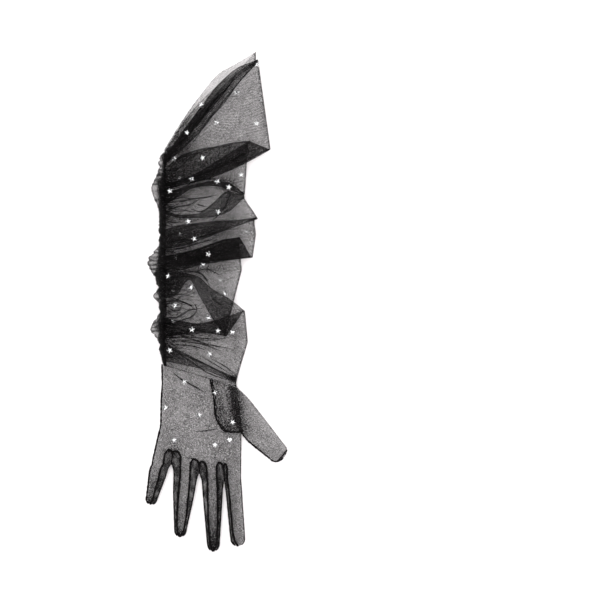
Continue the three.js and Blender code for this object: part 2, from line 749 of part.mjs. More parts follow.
const star = starShape();
STARS.forEach(([across, along], i) => {
  const x = across * SLEEVE_WIDTH;
  const y = along * SLEEVE_LENGTH;
  const mesh = new THREE.Mesh(star.clone(), new THREE.MeshStandardMaterial(GLITTER));
  mesh.name = `star_${String(i + 1).padStart(2, '0')}`;
  mesh.position.set(x, y, clothTop(clothMeshes, x, y, star.attributes.position) + SEAM_GAP);
  glove.add(mesh);
});

// The origin is under the middle of the glove's outline, on the surface that it lies on.
const bounds = new THREE.Box3().setFromObject(glove);
const middle = bounds.getCenter(new THREE.Vector3());
glove.position.set(-middle.x, -middle.y, -bounds.min.z);

export default glove;
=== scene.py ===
"""Looks of a long ruched tulle glove, dressed over its solids.

Every piece of cloth is one thin surface worked out with numpy on a grid, in millimetres from the
wrist corner of the side seam: x to the folded edge, y to the mouth, z up. It is moved to the
frame's own place and turned into metres when its mesh is made.
"""
import math

import bmesh
import bpy
import numpy as np
from bpy.props import FloatProperty, FloatVectorProperty, IntProperty, PointerProperty
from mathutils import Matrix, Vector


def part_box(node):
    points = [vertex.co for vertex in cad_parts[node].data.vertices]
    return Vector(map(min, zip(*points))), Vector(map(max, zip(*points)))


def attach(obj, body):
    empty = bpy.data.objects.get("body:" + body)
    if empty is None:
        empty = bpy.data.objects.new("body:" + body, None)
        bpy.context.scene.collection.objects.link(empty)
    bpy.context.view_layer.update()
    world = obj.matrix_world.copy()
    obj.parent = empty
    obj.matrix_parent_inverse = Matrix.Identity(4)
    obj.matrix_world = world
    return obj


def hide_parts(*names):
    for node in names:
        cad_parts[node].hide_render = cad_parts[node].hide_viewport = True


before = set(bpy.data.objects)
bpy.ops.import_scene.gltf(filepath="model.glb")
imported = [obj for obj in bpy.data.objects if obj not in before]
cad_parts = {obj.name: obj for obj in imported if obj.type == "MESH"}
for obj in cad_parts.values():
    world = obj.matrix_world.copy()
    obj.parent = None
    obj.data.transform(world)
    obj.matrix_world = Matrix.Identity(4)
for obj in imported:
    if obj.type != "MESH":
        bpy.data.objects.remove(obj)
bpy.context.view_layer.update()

bl_info = {
    "name": "Ruched Tulle Glove",
    "version": (1, 0, 0),
    "blender": (4, 5, 0),
    "location": "View3D > Sidebar > Glove",
    "description": "Makes the net, seams, sequins and stage of a long ruched tulle glove",
    "category": "Add Mesh",
}

MM = 0.001

# The sizes that the solids have, in millimetres.
WALL = 1.0
LAYER_PITCH = 1.8
SEAM_GAP = 0.3
SLEEVE_LENGTH = 350
SLEEVE_WIDTH = 110
CHANNEL_HALF = 5.5
SEAM_HALF = 2.0
TABLE_CLEAR = 0.15
EDGE_ROUNDING = 8
WRIST_SLANT = 0.3
WRIST_LINE = 19.5
WRIST_REACH = 0.687
SEAM_WIDTH = 5.6
SEAM_START = 0.066
SEAM_END = 0.69
PALM_WIDTH = 80
PALM_LENGTH = 82
WRIST_HEIGHT = 2 * CHANNEL_HALF + WALL
KNUCKLE_HEIGHT = 9.4
FINGER_HEIGHT = 7.8
THUMB_LENGTH = 87.5
THUMB_HEIGHT = 13.6
THUMB_TIP_HEIGHT = 8.4
FACE_HALF = 5.4
NAIL = 0.9
WRIST_LAP = 0.4

# Each fold of the sleeve has a low line, where the cloth turns up, and a high line, where it turns
# down again, as shares of SLEEVE_LENGTH at even stations from the seam to the folded edge. Reach
# is a share of SLEEVE_WIDTH, and layers say how far the cloth lies above the channel's wall
# before, inside and after the fold. The tone says how much closer the net lies there. A back
# given as one line is not folded there.
FOLDS = [
    {"name": "mouth_roll", "tone": 1.4, "front_layers": (2, 3, 4), "back_layers": (0, 1, 2),
     "low": {"reach": 0.878, "front": [0.652, 0.7, 0.754, 0.825, 0.895, 0.958],
             "back": [0.655, 0.721, 0.79, 0.856, 0.922]},
     "high": {"reach": 0.883, "front": [0.676, 0.751, 0.814, 0.879, 0.93, 0.97],
              "back": [0.682, 0.76, 0.835, 0.904, 0.949]}},
    {"name": "upper_fold", "tone": 1.1, "front_layers": (4, 3, 2), "back_layers": (2, 1, 0),
     "low": {"reach": 1.0, "front": [0.586, 0.601, 0.616, 0.637, 0.667, 0.7],
             "back": [0.583, 0.597, 0.613, 0.636, 0.666]},
     "high": {"reach": 0.81, "front": [0.64, 0.682, 0.7, 0.709, 0.72, 0.727],
              "back": [0.598, 0.613, 0.635, 0.666, 0.697]}},
    {"name": "hook_top", "tone": 1.7, "front_layers": (4, 3, 2), "back_layers": (0, 0, 0),
     "low": {"reach": 0.758, "front": [0.532, 0.562, 0.586, 0.591, 0.58, 0.564]},
     "high": {"reach": 0.758, "front": [0.571, 0.583, 0.597, 0.606, 0.6, 0.57]},
     "back_line": [0.55, 0.554, 0.56, 0.565, 0.568]},
    {"name": "hook_tail", "tone": 1.3, "front_layers": (2, 1, 0), "back_layers": (0, 0, 0),
     "low": {"reach": 0.758, "front": [0.507, 0.495, 0.495, 0.498, 0.514, 0.555]},
     "high": {"reach": 0.758, "front": [0.517, 0.505, 0.508, 0.538, 0.576, 0.561]},
     "back_line": [0.514, 0.517, 0.521, 0.529, 0.541]},
    {"name": "wedge_fold", "tone": 1.1, "front_layers": (2, 1, 0), "back_layers": (0, 0, 0),
     "low": {"reach": 0.883, "front": [0.403, 0.411, 0.43, 0.452, 0.472, 0.492]},
     "high": {"reach": 0.864, "front": [0.462, 0.475, 0.482, 0.487, 0.49, 0.498]},
     "back_line": [0.448, 0.453, 0.46, 0.469, 0.481]},
    {"name": "dark_fold", "tone": 1.8, "front_layers": (2, 1, 0), "back_layers": (2, 1, 0),
     "low": {"reach": 0.831, "front": [0.341, 0.345, 0.354, 0.363, 0.371, 0.377],
             "back": [0.347, 0.353, 0.362, 0.368, 0.374]},
     "high": {"reach": 0.714, "front": [0.379, 0.382, 0.393, 0.406, 0.423, 0.439],
              "back": [0.382, 0.391, 0.403, 0.418, 0.433]}},
    {"name": "lower_fold", "tone": 0.8, "front_layers": (0, 1, 2), "back_layers": (0, 1, 2),
     "low": {"reach": 0.584, "front": [0.254, 0.266, 0.311, 0.254, 0.192, 0.141],
             "back": [0.14, 0.144, 0.149, 0.152, 0.149]},
     "high": {"reach": 0.758, "front": [0.332, 0.332, 0.324, 0.284, 0.257, 0.219],
              "back": [0.197, 0.188, 0.181, 0.188, 0.203]}},
    {"name": "wrist_fold", "tone": 0.2, "front_layers": (2, 1, 0), "back_layers": (0, 0, 0),
     "low": {"reach": 0.679, "front": [0.068, 0.06, 0.051, 0.039, 0.021, 0.003]},
     "high": {"reach": 0.679, "front": [0.123, 0.102, 0.08, 0.059, 0.038, 0.018]},
     "back_line": [0.088, 0.078, 0.065, 0.048, 0.029]},
]
WAISTS = {"dark_fold": (0.341, 0.744), "lower_fold": (0.125, 0.779)}
MOUTH = {"reach": 0.869, "front": [0.694, 0.778, 0.843, 0.895, 0.934, 0.994],
         "back": [0.703, 0.793, 0.868, 0.931, 0.961]}

# The puffs beside the gathered seam: place and half length as shares of SLEEVE_LENGTH, then
# how far they stand out in millimetres.
PUFFS = [(0.58, 0.072, 8.4), (0.365, 0.06, 11.5), (0.263, 0.027, 6.3), (0.167, 0.045, 9.5)]

# Palm outline: share of PALM_LENGTH down from the wrist line, then left and right as shares of
# PALM_WIDTH.
PALM = np.array([(-0.4, -0.04, 0.952), (0, -0.032, 0.952), (0.22, -0.046, 0.965),
                 (0.53, -0.052, 0.998), (0.76, -0.107, 0.998), (1.0, -0.164, 0.995)])
# Fingers from the smallest to the index finger: length, root as shares of the palm's width and
# length, lean in degrees, and widths at the root, middle and nail.
FINGERS = [
    {"length": 61.5, "root": (-0.006, 0.81), "lean": -13.8, "widths": (21, 17.3, 11.2)},
    {"length": 85.5, "root": (0.295, 0.915), "lean": -5.3, "widths": (28, 21.2, 12.4)},
    {"length": 95, "root": (0.624, 0.98), "lean": 0.6, "widths": (25, 18.4, 12.6)},
    {"length": 89.5, "root": (0.872, 0.985), "lean": 4.7, "widths": (17.8, 15.8, 14.7)},
]
# Where neighbouring fingers part, as shares of the palm's width and length.
WEBS = [(0.085, 1.035), (0.45, 1.15), (0.78, 1.25)]
# Where the lines between the fingers start on the wrist, as shares of its width.
WRIST_SHARES = [0.0, 0.24, 0.51, 0.77, 1.0]

THUMB = {"length": THUMB_LENGTH, "root": (0.79, 0.185), "lean": 44.3, "widths": (39, 29.5, 21)}
# The seam of the thumb's inset on the palm, as shares of the palm's width and length.
THUMB_INSET = [(0.596, -0.13), (0.62, 0.04), (0.645, 0.206), (0.655, 0.3), (0.663, 0.397),
               (0.7, 0.5), (0.775, 0.603), (0.84, 0.612), (0.897, 0.617), (1.0, 0.615)]

# Pinched wrinkles of the front, as lines of places in millimetres from the wrist corner.
WRINKLES = [
    [(14, 189), (28, 193), (44, 195), (53, 197)],
    [(2, 180), (14, 185), (26, 187), (32, 190), (39, 195)],
    [(33, 188), (44, 185)],
    [(26, 184), (37, 180), (49, 185)],
    [(2, 191), (14, 191), (28, 192)],
    [(-3, 142), (12, 138), (32, 140), (49, 146), (58, 153), (61, 155), (79, 154)],
    [(0, 133), (19, 136), (35, 140), (51, 146), (65, 150), (79, 153)],
    [(-2, 123), (14, 125), (32, 130), (47, 132), (65, 138), (79, 138), (91, 135)],
    [(0, 117), (16, 119), (32, 123), (49, 129), (79, 131)],
    [(0, 115), (18, 117), (33, 117), (40, 114), (45, 107), (49, 98)],
    [(32, 117), (44, 120), (58, 114)],
    [(2, 93), (10, 90), (19, 86), (32, 81)],
    [(0, 83), (9, 77), (16, 77), (18, 83)],
    [(3, 88), (14, 87), (26, 83), (33, 77)],
    [(0, 69), (14, 70), (26, 77), (40, 79)],
    [(0, 48), (19, 49), (32, 46), (47, 41), (70, 37)],
    [(5, 41), (19, 41), (33, 39), (44, 35)],
    [(0, 44), (18, 30), (33, 20), (47, 11), (72, 2)],
    [(9, 35), (26, 28), (44, 20), (61, 11), (72, 4)],
    [(40, 28), (54, 20), (68, 11)],
    [(60, 12), (70, 6), (80, 3)],
    [(56, 24), (68, 16), (80, 6)],
    [(9, 12), (16, 6), (32, -3), (42, -9)],
    [(2, 219), (14, 224), (26, 235), (40, 242)],
    [(32, 219), (47, 222), (63, 232)],
    [(-3, 201), (9, 195), (19, 203), (33, 212), (40, 210)],
    [(97, 335), (80, 317), (61, 291), (47, 277), (34, 257), (24, 244)],
    [(77, 328), (67, 310), (51, 294), (33, 269)],
    [(55, 297), (37, 276), (22, 257), (10, 244)],
    [(3, 159), (16, 162), (28, 165), (40, 167)],
    [(3, 148), (18, 151), (30, 150)],
    [(1, 128), (16, 132), (33, 134), (42, 138)],
    [(3, 59), (20, 56), (37, 52)],
    [(2, 53), (19, 53), (35, 49)],
    [(3, 65), (22, 60), (39, 55), (51, 53)],
    [(52, 25), (64, 18), (74, 10)],
    [(3, 207), (18, 213), (33, 217), (43, 222)],
    [(32, -50), (43, -49), (55, -47)],
    [(22, -77), (31, -79), (37, -82)],
    [(4, 55), (22, 50), (38, 48), (56, 47), (68, 49)],
    [(6, 46), (24, 44), (42, 41), (60, 34)],
    [(10, 121), (30, 127), (48, 136), (62, 141), (72, 142)],
    [(20, 131), (38, 134), (52, 142), (60, 148)],
    [(6, 108), (16, 112), (30, 112)],
    [(14, 66), (28, 70), (34, 78), (30, 86)],
    [(48, 94), (54, 86), (62, 82)],
    [(20, 205), (34, 212), (52, 214), (66, 210), (78, 203), (82, 197)],
    [(60, 206), (68, 200), (66, 190), (58, 178), (48, 168)],
    [(2, 147), (20, 149), (40, 154), (60, 160), (80, 163)],
    [(2, 140), (18, 142), (36, 147), (52, 152)],
    [(0, 236), (14, 236), (32, 240), (50, 246), (70, 249)],
    [(30, 214), (48, 222), (66, 231), (84, 240), (98, 246)],
]
# Height of each fourchette's arch above its web, in millimetres.
ARCHES = (17.5, 15.0, 20.0)
# The pinky's face lies off its middle, so that its one fourchette is wide.
PINKY_CUT = 0.3
# Half widths of a finger's face, in millimetres, at shares of its length, and the least and
# largest share of the finger that a face may take.
FACE_STATIONS = (0, 0.62, 0.84, 1)
FACE_HALVES = (FACE_HALF, 5.0, 2.8, 0.4)
FACE_LIMITS = (0.12, 0.62)
# Powers that round the cross sections and the fingertips: larger ones keep them flat for longer.
PALM_ROUNDING = 12
FINGER_ROUNDING = 4
THUMB_ROUNDING = 5
ROUND_END = 2.6
ROUND_TOP = 3
# Share of the palm by which the faces droop at an arch, and how far along the palm they do.
ARCH_DROOP = 0.05
ARCH_SPAN = 0.08
# Where the three darkest fingertips begin and are full, in rows of palm and finger as 0 to 2.
TIP_STARTS = (1.6, 1.72, 1.45)
TIP_FULL = 1.93

# How the sleeve's grid is cut: columns on its plain part and round its folded edge, the share
# where that edge begins, and the rows above its first fold and below its last one.
PLAIN_COLUMNS = 49
EDGE_COLUMNS = 15
EDGE_START = 0.8
MOUTH_ROWS = 26
WRIST_ROWS = 4
# The sleeve rises from the wrist's height between these shares of its length. Across it, the
# channel opens and the cloth starts to swell over these shares of its width.
LIFTED = (0.05, 0.114)
OPENED = 0.12
SWOLLEN = 0.3
# Distances in millimetres between rows of plain cloth, and of a wall where it isn't folded.
ROW_PITCH = 2.4
ROW_STEP = 0.8
ROLL_ANGLES = np.linspace(-np.pi / 2, np.pi / 2, 9)
# Room in millimetres inside a fold, beside a fold, between two folds and above the wrist.
ROLL_SPARE = 0.2
FOLD_SPARE = 0.6
PANEL_LEAST = 0.8
WRIST_LEAST = 0.5

# How the hand's grid is cut: rows of the palm and fingers, columns of half a finger, and the
# column of its seam.
PALM_ROWS = 46
FINGER_ROWS = 44
HALF_COLUMNS = 13
SEAM_COLUMN = 7
# How the thumb's grid is cut, and how many rows of its back lie under the palm.
THUMB_COLUMNS = 33
INSET_ROWS = 22
THUMB_ROWS = 46
TUCKED_ROWS = 7
# How the gathered seam's tube is cut.
SEAM_ROWS = 440
SEAM_COLUMNS = 48

# Noise of each surface: widths in millimetres across and along, seed and amount. Swells move the
# cloth up and down in millimetres, and mottles change how close the net lies.
SLEEVE_SWELL = ((27.0, 21.0, 3, 0.8), (9.0, 8.0, 4, 0.35))
SLEEVE_MOTTLE = ((5.0, 5.0, 8, 0.1), (1.7, 1.7, 9, 0.08))
FAN_SWAY = ((34.0, 90.0, 5, 0.18),)
HAND_SWELL = ((13.0, 15.0, 21, 0.35),)
HAND_MOTTLE = ((4.0, 4.0, 31, 0.1), (19.0, 17.0, 32, 0.12))
STRIP_MOTTLE = ((2.2, 5.0, 33, 1.3),)
THUMB_MOTTLE = ((5.0, 5.0, 42, 0.1),)
WRINKLE_MOTTLE = ((4.0, 4.0, 71, 1.3),)
SEAM_CRUMPLE = ((1.9, 1 / 1.6, 51, 1.0), (0.9, 1 / 3.0, 52, 0.5))
# The back takes other parts of the same noise: steps of its lattice, and millimetres.
BACK_SHIFT = 40
BACK_FAR = 700

# Pleats that fan out of the gathered seam: width and length in millimetres, seed, sharpness and
# how far they reach. Then where the gathering starts and eases, as shares of SLEEVE_LENGTH.
PLEATS = ((4.6, 26.0, 11, 5, 12.0), (11.0, 48.0, 12, 7, 34.0))
PLEAT_HEIGHT = 0.9
RUCHED = (0.03, 0.12)
EASED = (0.55, 0.66)
EASED_BY = 0.75
# Amounts of net beside the seam, each with the reach in millimetres over which it fades.
SEAM_SHADOW = ((0.3, 3.0),)
STREAK_SHARES = ((1.1, 10.0), (0.45, 35.0))
STREAKS_LEFT = 0.1

# How many layers of net lie at each feature of a piece, where the plain net is about one.
SLEEVE_NET = {"plain": 0.88, "least": 0.75, "crease": 2.8, "edge": 2.2, "hem": 1.4}
HAND_NET = {"plain": 1.1, "edge": 1.2, "tip": 2.4}
STRIP_NET = {"plain": 1.8, "edge": 1.6, "tip": 1.8, "shade": 1.5}
THUMB_NET = {"plain": 0.95, "edge": 1.3, "lower": 1.1, "tuck": 1.2, "crease": 2.6, "inset": 0.35,
             "strip": 1.8, "knot": 5.0, "tip": 3.5, "under": 2.6}
SEAM_NET = {"plain": 0.8, "band": 6.0, "pleat": 3.0, "rim": 1.2}
WRINKLE_NET = 2.2
# Width in millimetres of the dark line along the folded edge, and of the hem in rows.
EDGE_WIDTH = 1.5
HEM_ROWS = 1.2

# The angles of the threads on the hand's and the thumb's front and back, in radians, and how far
# apart the maps of front and back lie, in millimetres.
HAND_THREADS = (0.5, 0.85)
THUMB_THREADS = (0.6, 0.2)
MAP_APART = 90
# The sewn lines' radii as shares of the seam radius.
SEWN = {"inner": 1.4, "outer": 1.4, "side": 1.0, "pinky_front": 0.7, "index_edge": 0.75,
        "inset": 1.5, "ruffle": 1.0, "thumb_lower": 0.8, "thumb_edge": 1.5, "thumb_tip": 1.2}
# The knot of net where the thumb leaves the palm: place and reach in millimetres.
KNOT = (74, -46, 11, 8)

# The gathered seam: the heights between which it grows from the wrist and between which its dark
# band moves right, the bulge's height, half length and reach, all in millimetres.
SEAM_GROWS = (22, 40)
BAND_TURNS = (205, 222)
BULGE = (111, 9.0, 3.5)
SEAM_FLAT = 3.4
# The height and length of its scallops, and the length over which its ends close.
SCALLOP_HEIGHT = 1.1
SCALLOP_LENGTH = 4.3
SEAM_ENDS = 5
# Bunches of short wrinkles beside the seam: height and spread in millimetres.
BUNCHES = [(200, 12), (180, 14), (140, 12), (125, 14), (108, 12), (62, 14), (48, 14), (222, 18)]
BUNCH_WRINKLES = 115
# Radii of the drawn wrinkles and of the bunched ones, and the step between their points.
WRINKLE_RADII = (0.55, 0.95)
BUNCH_RADII = (0.3, 0.65)
WRINKLE_STEP = 1.2

# Soft ovals of the sleeve and hand where the net lies closer than its folds make it, or farther
# apart where the amount is below zero: middle in millimetres, direction in degrees, reach along
# and across, amount.
SHADES = [
    (13, 266, 55, 30, 8, 1.6),
    (19, 243, 60, 12, 7, 1.2),
    (5, 246, 62, 14, 5, 1.2),
    (34, 208, 12, 28, 4, 0.9),
    (71, 322, 42, 28, 8, -1.6),
    (103, 284, -83, 28, 3, 0.5),
    (97, 347, 0, 6, 6, 0.6),
    (66, 208, 0, 10, 6, 1.3),
    (51, 158, 5, 24, 6, 0.6),
    (62, 168, 20, 16, 6, 0.5),
    (93, 164, 90, 10, 5, 0.5),
    (34, 181, 8, 24, 6, -0.7),
    (45, 121, 3, 28, 4, 0.5),
    (22, 85, 0, 14, 9, -0.5),
    (51, 53, 5, 26, 5, 0.5),
    (79, 48, 85, 25, 8, 0.25),
    (79, 3, 150, 10, 5, 1.8),
]
HAND_SHADES = [
    (8, -70, 60, 10, 8, 0.35),
    (60, -150, 90, 22, 10, 0.6),
    (-16, -109, 60, 12, 8, 0.6),
    (8, -143, 90, 14, 7, 0.5),
]

# Each piece of cloth as it is cut: width and length in metres of the rectangle that it comes from,
# and the area cut out of it in square metres. The widths go once round the glove and the lengths
# are those of the CAD pieces with the cloth of their folds let out.
CUTS = {
    "sleeve_net": {"flat": (0.22, 0.42), "area": 0.0913, "held": "gathered",
                   "rests_on": ["gathered_seam_net", "hand_net"], "with_pieces": ["wrinkles"]},
    "gathered_seam_net": {"flat": (0.02, 0.27), "area": 0.0046, "held": "gathered",
                          "rests_on": ["sleeve_net"]},
    "hand_net": {"flat": (0.17, 0.2), "area": 0.0213, "held": "laid", "rests_on": ["floor"],
                 "with_pieces": ["finger_seams"]},
    "fourchette_1_net": {"flat": (0.016, 0.18), "area": 0.00227, "held": "laid",
                         "rests_on": ["hand_net"]},
    "fourchette_2_net": {"flat": (0.016, 0.18), "area": 0.00237, "held": "laid",
                         "rests_on": ["hand_net"]},
    "fourchette_3_net": {"flat": (0.016, 0.18), "area": 0.00207, "held": "laid",
                         "rests_on": ["hand_net"]},
    "thumb_net": {"flat": (0.08, 0.1), "area": 0.00595, "held": "laid",
                  "rests_on": ["floor", "hand_net"], "with_pieces": ["thumb_seams"]},
}

# The sequins' widths across their points, in millimetres: above the net, under it, and the round
# one. Waists are the inner radius as a share of the outer one.
STAR_WIDTH = 6.6
STAR_UNDER_WIDTH = 6.0
ROUND_WIDTH = 4.6
STAR_WAIST = 0.32
STAR_THICKNESS = 0.22
# The one round sequin, beside the thumb, in millimetres from the wrist corner.
ROUND_SEQUIN = (68.1, -58.5)
# Stars that lie under the front layer of net, in millimetres from the wrist corner.
STARS_UNDER = [(100.4, 296.8), (85.8, 159.4), (58.5, 108.6), (15.8, 215.4), (12.3, 132.2),
               (8.5, 96.9), (9.3, 65.5), (16.5, 156.1)]

# Coincident points are joined within this distance in metres.
WELD = 0.00002
# How often the patterns of the materials repeat in a metre: the net's grain, the thread's twist
# and the sequins' flakes.
GRAIN_SCALE = 1100
TWIST_SCALE = 900
FLAKE_SCALE = 620
# Streaks of bunched net: noise steps for each millimetre across and along, its detail and
# distortion, half the width of a line, and how many layers of net it counts for.
FINE_STREAKS = (0.04, 0.3, 2.5, 0.5, 0.035, 1.7)
BROAD_STREAKS = (0.02, 0.11, 2.0, 0.8, 0.03, 2.6)
# Middle of the picture, in millimetres from the wrist corner.
PICTURE_MIDDLE = (141.75, 87.78, 0)
# The floor's half width and the overhead light's width and place in metres, its lean in radians.
FLOOR_HALF = 6.0
KEY_WIDTH = 2.2
KEY_PLACE = (-0.3, 0.5, 2.2)
KEY_LEAN = (-0.22, -0.135, 0)


def frame_shift():
    """Place of the wrist corner in the frame, from the gathered seam's box, in metres."""
    low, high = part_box("gathered_seam")
    right = SEAM_GAP + WALL / 2
    return np.array([high[0] + right * MM, low[1] - SEAM_START * SLEEVE_LENGTH * MM, 0.0])


SHIFT = frame_shift()


def smooth(low, high, value):
    """Zero below low, one above high, and the cubic 3f^2 - 2f^3 between."""
    f = np.clip((value - low) / (high - low), 0.0, 1.0)
    return f * f * (3.0 - 2.0 * f)


def bell(distance, width):
    """One at no distance, and falls off as e to minus the square of distance over width."""
    return np.exp(-((distance / width) ** 2))


def rounded(value, power):
    """Root of one less the value's power: one at zero, and round down to zero at one."""
    return np.sqrt(np.maximum(0.0, 1 - np.abs(value) ** power))


def between(start, end, share):
    """Straight blend from the start to the end."""
    return start * (1 - share) + end * share


def lattice_noise(u, v, seed):
    """Smooth noise from -1 to 1: random values on a square lattice, blended by cubic weights."""
    size = 64
    table = np.random.default_rng(seed).uniform(-1.0, 1.0, (size, size))
    i = np.floor(u).astype(int)
    j = np.floor(v).astype(int)
    near_i, far_i = i % size, (i + 1) % size
    near_j, far_j = j % size, (j + 1) % size
    a = smooth(0.0, 1.0, u - i)
    top = between(table[near_i, near_j], table[far_i, near_j], a)
    bottom = between(table[near_i, far_j], table[far_i, far_j], a)
    return between(top, bottom, smooth(0.0, 1.0, v - j))


def noises(x, y, layers, shift=0):
    """Sum of lattice noises, each given by its two widths, its seed and its amount."""
    total = 0
    for wide, long, seed, amount in layers:
        total = total + amount * lattice_noise(x / wide + shift, y / long, seed)
    return total


def ridges(u, v, seed, sharpness):
    """Thin crests of noise from 0 to 1: one less the noise's size, raised to a power."""
    return (1.0 - np.abs(lattice_noise(u, v, seed))) ** sharpness


def fading(x, amounts):
    """Sum of amounts that each fade as e to minus the distance from the seam over their reach."""
    return sum(amount * np.exp(-x / reach) for amount, reach in amounts)


def station_curve(values, share):
    """Curve through heights at even stations that never overshoots them.

    Between two stations it is the cubic with their heights and slopes, and a slope is the
    harmonic mean of the rises on its two sides, or zero where the rises differ in sign.
    """
    v = np.asarray(values, dtype=float)
    last = len(v) - 1
    rise = np.diff(v)
    same = rise[:-1] * rise[1:] > 0
    total = np.where(same, rise[:-1] + rise[1:], 1.0)
    inner = np.where(same, 2 * rise[:-1] * rise[1:] / total, 0.0)
    slope = np.concatenate([[rise[0]], inner, [rise[-1]]])
    place = np.clip(share, 0.0, 1.0) * last
    i = np.clip(np.floor(place).astype(int), 0, last - 1)
    f = place - i
    from_height = 2 * f**3 - 3 * f**2 + 1
    from_slope = f**3 - 2 * f**2 + f
    to_slope = f**3 - f**2
    heights = from_height * v[i] + (1 - from_height) * v[i + 1]
    return heights + from_slope * slope[i] + to_slope * slope[i + 1]


def wrist_height(x):
    """Height of the slanted wrist line at a distance from the seam."""
    return WRIST_LINE - WRIST_SLANT * x


def middle_height(y):
    """Height of the sleeve's middle plane above the table."""
    lift = (2 * LAYER_PITCH + TABLE_CLEAR) * smooth(*LIFTED, y / SLEEVE_LENGTH)
    return WRIST_HEIGHT / 2 + lift


def sleeve_columns():
    """Shares, sides and front weights of the columns: out on the front, back on the back."""
    turn = np.linspace(0, np.pi / 2, EDGE_COLUMNS)[1:]
    plain = np.linspace(0, EDGE_START, PLAIN_COLUMNS)
    share = np.concatenate([plain, EDGE_START + (1 - EDGE_START) * np.sin(turn)])
    share = np.concatenate([share, share[-2::-1]])
    half = len(share) // 2
    side = np.concatenate([np.ones(half), [0], -np.ones(half)])
    fade = 0.5 * smooth(EDGE_START, 1.0, share)
    blend = np.where(side > 0, 1 - fade, np.where(side < 0, fade, 0.5))
    return share, side, blend


def line_height(line, columns):
    """Heights of a fold's line at the columns, its front and back meeting at the folded edge."""
    share, side, _ = columns
    front = station_curve(line["front"], share)
    back = station_curve([*line["back"], line["front"][-1]], share)
    return SLEEVE_LENGTH * np.where(side >= 0, front, back)


def roll_rows(line, sign, layers, reach, turn, tone):
    """Rows round a line where the cloth turns: a half circle from one layer to the next.

    A roll's radius is half the layers' pitch for each layer that the cloth changes, so on a wall
    that is not folded there the rows only run on downwards.
    """
    before, after = layers
    middle = (before + after) / 2
    radius = turn * LAYER_PITCH / 2
    loose = (1 - turn) * ROW_STEP
    rows = []
    for angle in ROLL_ANGLES:
        y = line + sign * radius * (1 - math.cos(angle)) - loose * math.sin(angle)
        layer = middle - math.sin(angle) * (before - middle)
        rows.append((y, layer, reach + 0 * y, middle, turn * math.cos(angle) ** 2, turn * tone))
    return rows


def fold_rows(fold, columns):
    """Rows of a fold: a roll round the low line, the cloth between, and a roll round the high."""
    blend = columns[2]
    mix = [between(b, f, blend) for f, b in zip(fold["front_layers"], fold["back_layers"])]
    turn = np.abs(mix[1] - mix[0])
    lines = {}
    for key, sign in (("low", 1), ("high", -1)):
        line = dict(fold[key])
        if "back" not in line:
            step = 2 * sign * ROW_STEP / SLEEVE_LENGTH
            line["back"] = [value + step for value in fold["back_line"]]
        lines[key] = line_height(line, columns)
    low, tone = lines["low"], fold["tone"]
    least = low + turn * (LAYER_PITCH + ROLL_SPARE) - (1 - turn) * 4 * ROW_STEP
    high = np.maximum(lines["high"], least)
    low_reach, high_reach = fold["low"]["reach"], fold["high"]["reach"]
    low_roll = roll_rows(low, 1, mix[:2], low_reach, turn, tone)
    high_roll = roll_rows(high, -1, mix[1:], high_reach, turn, tone)
    start, end = low_roll[-1][0], high_roll[0][0]
    count = max(2, int(np.max(end - start) / ROW_PITCH))
    inner = []
    for f in np.arange(1, count) / count:
        y = start + (end - start) * f
        reach = low_reach + (high_reach - low_reach) * f
        ref = low_roll[0][3] + (high_roll[0][3] - low_roll[0][3]) * f
        inner.append((y, mix[1], reach + 0 * y, ref, 0 * y, turn * tone))
    return [*low_roll, *inner, *high_roll], low, high


def panel_rows(above, below, waist, columns):
    """Rows between two folds, whose layer changes only where neither fold covers the cloth."""
    rows_above, low_above, _ = above
    rows_below, _, high_below = below
    top, bottom = rows_above[-1], rows_below[0]
    start = np.minimum(low_above, top[0]) - FOLD_SPARE
    end = np.maximum(high_below, bottom[0]) + FOLD_SPARE
    mean = (start + end) / 2
    tight = start - end < PANEL_LEAST
    start = np.where(tight, mean + PANEL_LEAST / 2, start)
    end = np.where(tight, mean - PANEL_LEAST / 2, end)
    tip = len(columns[0]) // 2
    knots = [(top[0][tip], top[2][tip]), (bottom[0][tip], bottom[2][tip])]
    if waist:
        knots.insert(1, (waist[0] * SLEEVE_LENGTH, waist[1]))
    knot_y, knot_reach = np.array(knots[::-1]).T
    count = max(6, int(np.max(top[0] - bottom[0]) / ROW_PITCH))
    rows = []
    for f in np.arange(1, count) / count:
        y = top[0] + (bottom[0] - top[0]) * f
        layer = top[1] + (bottom[1] - top[1]) * smooth(0, 1, (start - y) / (start - end))
        reach = np.interp(y[tip], knot_y, knot_reach)
        ref = top[3] + (bottom[3] - top[3]) * f
        rows.append((y, layer, reach + 0 * y, ref, 0 * y, 0 * y))
    return rows


def sleeve_rows(columns):
    """All rows from the mouth to the wrist: height, layer, reach, its layer, crease and cover."""
    folds = [fold_rows(fold, columns) for fold in FOLDS]
    first = folds[0][0][0]
    top = line_height(MOUTH, columns)
    rows = []
    for f in np.arange(MOUTH_ROWS) / MOUTH_ROWS:
        y = top + (first[0] - top) * f
        reach = MOUTH["reach"] + (first[2] - MOUTH["reach"]) * f
        ref = first[1] + (first[3] - first[1]) * f
        rows.append((y, first[1], reach, ref, 0 * y, 0 * y))
    rows.extend(folds[0][0])
    for before, after, fold in zip(folds[:-1], folds[1:], FOLDS[:-1]):
        rows.extend(panel_rows(before, after, WAISTS.get(fold["name"]), columns))
        rows.extend(after[0])
    last = folds[-1][0][-1]
    end = wrist_height(columns[0] * WRIST_REACH * SLEEVE_WIDTH) - WRIST_LAP
    for f in np.arange(1, WRIST_ROWS + 1) / WRIST_ROWS:
        y = last[0] + (np.minimum(end, last[0] - WRIST_LEAST) - last[0]) * f
        reach = last[2] + (WRIST_REACH - last[2]) * f
        rows.append((y, last[1] * (1 - f), reach, last[3] * (1 - f), 0 * y, 0 * y))
    return [np.stack(values) for values in zip(*rows)]


